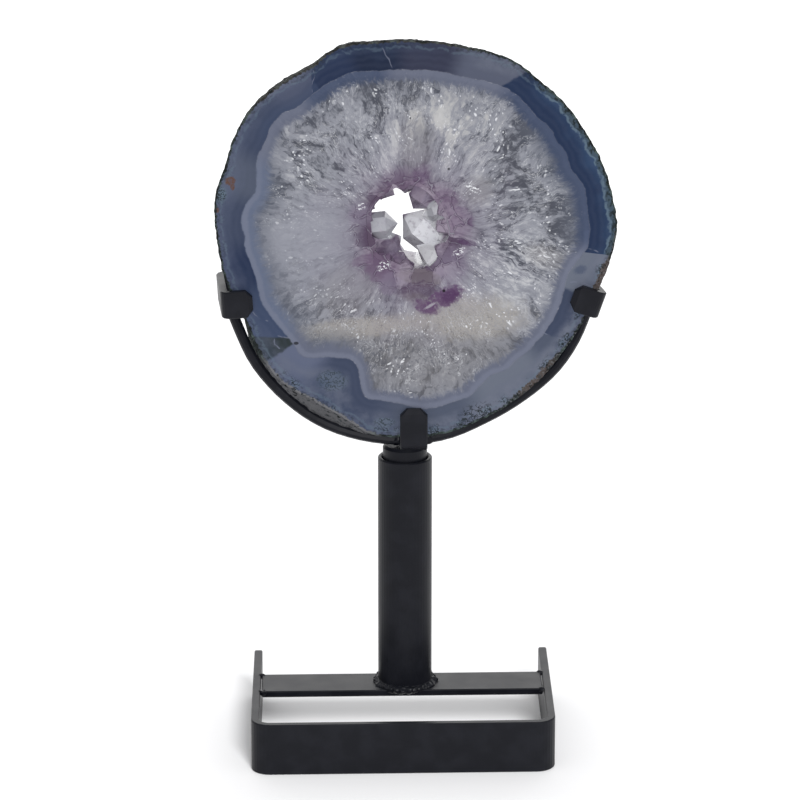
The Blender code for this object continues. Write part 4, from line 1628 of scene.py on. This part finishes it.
@dataclass(frozen=True)
class CrystalFinish:
    """Crystals of the crust: clear quartz tips, the rest cloudy violet-grey."""

    middle: Place
    # How far right and up a place moves for each length behind the face, as the camera sees it
    sight: Point = (-0.031, 0.311)
    # Clearer parts: where, the tone of their haze, and how clear they are. The plate's near-white
    # tones are painted light, the bright background seen through it
    clear: tuple[Stain, ...] = (
        Stain(Patch(-9.2, 3.2, 5.4, 5.8, 0.0, 0.1), Tone.QUARTZ, 0.3, 0.1),
        # The plate: near-white paint stands in for light seen through it, besides its real
        # transmission
        Stain(Patch(4.0, 0.8, 8.0, 7.8, 0.0, 0.1), Tone.PLATE_LIT_THROUGH, 0.4, 0.1),
        Stain(Patch(6.2, -8.8, 4.4, 4.2, 0.0, 0.1), Tone.QUARTZ_LIGHT, 0.5, 0.1),
        Stain(Patch(9.6, 7.8, 3.6, 4.0, 0.0, 0.1), Tone.QUARTZ, 0.4, 0.1),
    )
    # How much of the cloudy part's colour the facets give
    facets: float = 0.95
    tint: Color = (0.82, 0.81, 0.86)
    ior: float = 1.54
    transmission: float = 0.45
    absorbed: Color = (0.72, 0.66, 0.8)
    density: float = 20.0
    clear_roughness: float = 0.05
    cloudy_roughness: float = 0.2
    specular: float = 0.3

    def material(self) -> bpy.types.Material:
        """Make the material.

        Returns:
            The material.
        """
        graph = Graph("amethyst_crystal")
        x, depth, z = graph.position_from(self.middle)
        place = graph.vector(x, z, depth)
        flat = graph.vector(x + depth * self.sight[0], z + depth * self.sight[1], 0.0)
        swirl = graph.noise(place, 0.1, 3.0).output(COLOR_OUTPUT) - MIDDLE_COLOR
        ground = Ground(graph, place, flat, flat.length(), swirl)
        frost = ground.noise(0.35, 3.0).rise(0.5, 0.7)
        clear = graph.principled({
            "Base Color": self.tint,
            "Roughness": self.clear_roughness + frost * 0.1,
            "IOR": self.ior,
            "Transmission Weight": self.transmission,
        })
        paint, share = self._cloudy(ground, depth.rise(0.3, 1.5))
        cloudy = graph.principled({
            "Base Color": paint,
            "Roughness": self.cloudy_roughness + frost * 0.15,
            "Specular IOR Level": self.specular,
        })
        mixed = graph.node("ShaderNodeMixShader", {0: share, 1: cloudy, 2: clear})
        return graph.finish(mixed, (self.absorbed, self.density))

    def _cloudy(self, ground: Ground, inside: Expression) -> tuple[Expression, Expression]:
        """Paint the cloudy part.

        Args:
            ground: The place.
            inside: Whether it is behind the slab's face.

        Returns:
            The colour, and how clear the crystal is.
        """
        graph = ground.graph
        lighter = ground.noise(0.2, 3.0).rise(0.45, 0.62)
        paint = Amethyst().paint(ground, Tone.FACET_GREY, self.facets)
        paint = graph.mix(paint, Tone.VIOLET_HAZE, inside * (0.25 + lighter * 0.5))
        streaks = ground.noise(0.45, 4.0, 0.7).rise(0.25, 0.5)
        shares = []
        for part in self.clear:
            cover = part.patch.cover(ground, part.soft) * inside
            paint = graph.mix(paint, part.tone, cover * streaks)
            shares.append(cover * part.amount)
        return paint, greatest(shares)


@dataclass(frozen=True)
class SteelFinish:
    """Satin black paint on steel, with the faint grain of a sprayed coat."""

    name: str = "black_paint"
    roughness: float = 0.4
    specular: float = 0.16
    # Waves of the coat's grain and of its worn places, a millimetre, and the grain's height
    grain: float = 2.2
    wear: float = 0.12
    height: float = 0.05

    def material(self) -> bpy.types.Material:
        """Make the material.

        Returns:
            The material.
        """
        graph = Graph(self.name)
        place = graph.position() * (1.0 / MM)
        peel = graph.noise(place, self.grain, 3.0, 0.6)
        worn = graph.noise(place, self.wear, 3.0)
        return graph.finish(graph.principled({
            "Base Color": graph.mix(Tone.PAINT, Tone.WORN_PAINT, worn.rise(0.4, 0.66) * 0.6),
            "Roughness": self.roughness + (worn - 0.5) * 0.2,
            "Specular IOR Level": self.specular,
            "Normal": graph.bump(peel, self.height * MM, 0.35),
        }))


@dataclass(frozen=True)
class Bead:
    """A lump of weld: its middle and half sizes, in millimetres."""

    middle: Place
    half: Place


@dataclass
class Welds:
    """Beads of weld on one body of the stand."""

    name: str
    body: str
    beads: list[Bead]
    # Height of the lumps in millimetres, and their waves a millimetre
    lumpiness: float = 0.6
    lumps: float = 0.7
    # Without a seed, the lumps would differ from run to run
    seed: int = 7
    segments: int = 24
    rings: int = 12

    def build(self) -> bpy.types.Object:
        """Model the beads as one lumpy piece.

        Returns:
            The piece.
        """
        bpy.ops.object.select_all(action="DESELECT")
        made = []
        for bead in self.beads:
            bpy.ops.mesh.primitive_uv_sphere_add(
                segments=self.segments, ring_count=self.rings, radius=MM,
                location=tuple(value * MM for value in bead.middle), scale=bead.half)
            bpy.ops.object.transform_apply(location=True, rotation=True, scale=True)
            made.append(bpy.context.object)
        for item in made:
            item.select_set(True)
        bpy.context.view_layer.objects.active = made[0]
        bpy.ops.object.join()
        piece = bpy.context.object
        piece.name = self.name
        noise.seed_set(self.seed)
        for vert in piece.data.vertices:
            vert.co += noise.noise_vector(vert.co / MM * self.lumps) * self.lumpiness * MM
        bpy.ops.object.shade_smooth()
        return piece

    def dress(self, piece: bpy.types.Object, paint: bpy.types.Material) -> None:
        """Paint the beads and give them their body.

        Args:
            piece: The beads.
            paint: The steel's paint.
        """
        piece.data.materials.append(paint)
        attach(piece, self.body)


@dataclass
class Stand:
    """Base, post and cradle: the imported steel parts, with the beads of their welds."""

    nodes: tuple[str, ...] = (
        "base_frame", "cross_bar", "post", "spigot",
        "left_claw", "right_claw", "bottom_claw", "left_rod", "right_rod",
    )
    # The ring of beads round the post's foot, and how much chance moves and swells them
    foot_beads: int = 30
    foot_radius: float = 10.4
    foot_lift: float = 0.2
    foot_half: Place = (1.9, 1.9, 1.5)
    foot_stray: float = 0.9
    foot_swell: Place = (0.8, 0.0, 1.0)
    foot_chance: float = 1.7
    # Beads at the cross bar's ends: half size, and distances from its sides and its top
    bar_half: Place = (1.5, 1.3, 1.0)
    bar_inset: float = 0.4
    bar_drop: float = 0.6
    # Beads at the rods' ends, by claw and spigot: half sizes, and distances from the ends
    claw_half: Place = (2.5, 2.4, 1.8)
    claw_inset: float = 2.0
    claw_lift: float = 0.6
    spigot_half: Place = (2.6, 2.5, 2.3)
    spigot_lift: float = 2.0

    @staticmethod
    def _box(node: str) -> tuple[Vector, Vector]:
        """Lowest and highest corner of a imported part, in millimetres."""
        low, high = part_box(node)
        return Vector(low) / MM, Vector(high) / MM

    def _foot(self, middle: Vector, floor: float) -> Iterator[Bead]:
        """Beads round the post's foot.

        Args:
            middle: The post's middle.
            floor: Height of the bar that it stands on.

        Yields:
            The beads.
        """
        for index in range(self.foot_beads):
            turn = math.tau * index / self.foot_beads
            chance = noise.noise(Vector((index * self.foot_chance, 0.3, 0.0)))
            reach = self.foot_radius + chance * self.foot_stray
            x, y = middle.x + reach * math.cos(turn), middle.y + reach * math.sin(turn)
            half = tuple(
                size + chance * swell for size, swell in zip(self.foot_half, self.foot_swell))
            yield Bead((x, y, floor + self.foot_lift), half)

    def _stand_welds(self) -> Welds:
        """Beads round the post's foot and at the cross bar's ends.

        Returns:
            The welds of the stand.
        """
        post_low, post_high = self._box("post")
        bar_low, bar_high = self._box("cross_bar")
        beads = list(self._foot((post_low + post_high) / 2, bar_high.z))
        for x in (bar_low.x, bar_high.x):
            for y in (bar_low.y + self.bar_inset, bar_high.y - self.bar_inset):
                beads.append(Bead((x, y, bar_high.z - self.bar_drop), self.bar_half))
        return Welds("stand_welds", "stand", beads)

    def _cradle_welds(self) -> Welds:
        """Beads where the rods meet the claws and the spigot.

        Returns:
            The welds of the cradle.
        """
        left_low, left_high = self._box("left_rod")
        right_low, right_high = self._box("right_rod")
        y = (left_low.y + left_high.y) / 2
        tops = (
            (left_low.x + self.claw_inset, left_high.z),
            (right_high.x - self.claw_inset, right_high.z),
        )
        feet = ((left_high.x, left_low.z), (right_low.x, right_low.z))
        beads = [Bead((x, y, top + self.claw_lift), self.claw_half) for x, top in tops]
        beads += [Bead((x, y, foot + self.spigot_lift), self.spigot_half) for x, foot in feet]
        return Welds("cradle_welds", "cradle", beads)

    def dress(self, parts: dict[str, bpy.types.Object]) -> list[str]:
        """Paint every packed steel part and lay the welds.

        Args:
            parts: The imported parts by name.

        Returns:
            Names of the pieces that are dressed.
        """
        paint = SteelFinish().material()
        for name in self.nodes:
            mesh = parts[name].data
            mesh.materials.clear()
            mesh.materials.append(paint)
        beads = (self._stand_welds(), self._cradle_welds())
        for welds in beads:
            welds.dress(welds.build(), paint)
        return [*self.nodes, *(welds.name for welds in beads)]


@dataclass
class Crust:
    """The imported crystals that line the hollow."""

    middle: Place

    def dress(self, parts: dict[str, bpy.types.Object]) -> None:
        """Make the crystals violet-grey, and some of them clear.

        Args:
            parts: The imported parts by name.
        """
        mesh = parts["crystal_crust"].data
        mesh.materials.clear()
        mesh.materials.append(CrystalFinish(self.middle).material())


@dataclass
class Studio:
    """Pale floor, soft light and the camera, in metres unless a line says otherwise."""

    floor_size: float = 16.0
    floor_color: Color = (0.93, 0.93, 0.94)
    floor_roughness: float = 0.9
    sky_strength: float = 0.58
    sun_heading: Place = (-0.2, 1.0, -0.75)
    sun_strength: float = 2.55
    sun_angle: float = 16.0
    # Only these throw a shadow in the sun, as if the floor behind were lit by lamps of its own
    sun_blockers: tuple[str, ...] = ("base_frame", "cross_bar")
    panel_place: Place = (0.0, 1.5, 0.7)
    panel_target: Place = (0.0, 0.0, 0.1)
    panel_size: Point = (2.4, 1.2)
    panel_radiance: float = 1.4
    # The camera: what it looks at and how far it is, in millimetres, its angles and its lens
    target: Place = (-5.397, 3.74, 130.0)
    distance: float = 1550.0
    elevation: float = 17.26
    azimuth: float = -1.77
    lens: float = 189.7
    sensor: float = 36.0
    sight: float = 50.0

    def build(self, parts: dict[str, bpy.types.Object]) -> None:
        """Lay the floor, hang the lights and place the camera.

        Args:
            parts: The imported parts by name.
        """
        self._floor()
        self._sky()
        self._sun(parts)
        self._panel()
        self._camera()
        scene = bpy.context.scene
        scene.view_settings.view_transform = "Standard"
        scene.view_settings.look = "None"

    def _floor(self) -> None:
        """A plain pale floor."""
        bpy.ops.mesh.primitive_plane_add(size=self.floor_size, location=(0.0, 0.0, 0.0))
        floor = bpy.context.object
        floor.name = "floor"
        graph = Graph("pale_floor")
        paint = graph.principled({
            "Base Color": self.floor_color,
            "Roughness": self.floor_roughness,
            "Specular IOR Level": 0.0,
        })
        floor.data.materials.append(graph.finish(paint))

    def _sky(self) -> None:
        """A pale sky all round."""
        world = bpy.data.worlds.new("studio")
        bpy.context.scene.world = world
        world.use_nodes = True
        background = world.node_tree.nodes["Background"]
        background.inputs["Color"].default_value = (1.0, 1.0, 1.0, 1.0)
        background.inputs["Strength"].default_value = self.sky_strength

    def _sun(self, parts: dict[str, bpy.types.Object]) -> None:
        """A soft sun from the front right.

        Args:
            parts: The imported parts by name.
        """
        bpy.ops.object.light_add(type="SUN", location=(0.3, -1.0, 1.0))
        sun = bpy.context.object
        sun.rotation_euler = Vector(self.sun_heading).to_track_quat("-Z", "Y").to_euler()
        sun.data.energy = self.sun_strength
        sun.data.angle = math.radians(self.sun_angle)
        blockers = bpy.data.collections.new("sun_blockers")
        for name in self.sun_blockers:
            blockers.objects.link(parts[name])
        sun.light_linking.blocker_collection = blockers

    def _panel(self) -> None:
        """A lit panel behind, out of sight, that gleams in what lies flat."""
        bpy.ops.object.light_add(type="AREA", location=self.panel_place)
        panel = bpy.context.object
        heading = Vector(self.panel_target) - Vector(self.panel_place)
        panel.rotation_euler = heading.to_track_quat("-Z", "Y").to_euler()
        panel.data.shape = "RECTANGLE"
        panel.data.size, panel.data.size_y = self.panel_size
        panel.data.energy = self.panel_radiance * math.pi * self.panel_size[0] * self.panel_size[1]
        panel.visible_camera = False

    def _camera(self) -> None:
        """The camera at the photo's angle."""
        rise, turn = math.radians(self.elevation), math.radians(self.azimuth)
        level = self.distance * math.cos(rise)
        height = self.distance * math.sin(rise)
        offset = Vector((level * math.sin(turn), -level * math.cos(turn), height))
        bpy.ops.object.camera_add(location=(Vector(self.target) + offset) * MM)
        camera = bpy.context.object
        camera.rotation_euler = (-offset).to_track_quat("-Z", "Y").to_euler()
        camera.data.lens = self.lens
        camera.data.sensor_width = self.sensor
        camera.data.clip_end = self.sight
        bpy.context.scene.camera = camera


def main() -> None:
    """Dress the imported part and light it."""
    logging.basicConfig(level=logging.INFO)
    log = logging.getLogger("scene")
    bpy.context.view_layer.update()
    parts = frame["nodes"]
    stone = Slice()
    piece = stone.build(parts["slice"])
    stone.dress(piece)
    log.info("%s built and dressed", piece.name)
    Crust(stone.shape.middle).dress(parts)
    log.info("crystal_crust dressed")
    for name in Stand().dress(parts):
        log.info("%s dressed", name)
    Studio().build(parts)
    log.info("studio lit")


if __name__ == "__main__":
    main()
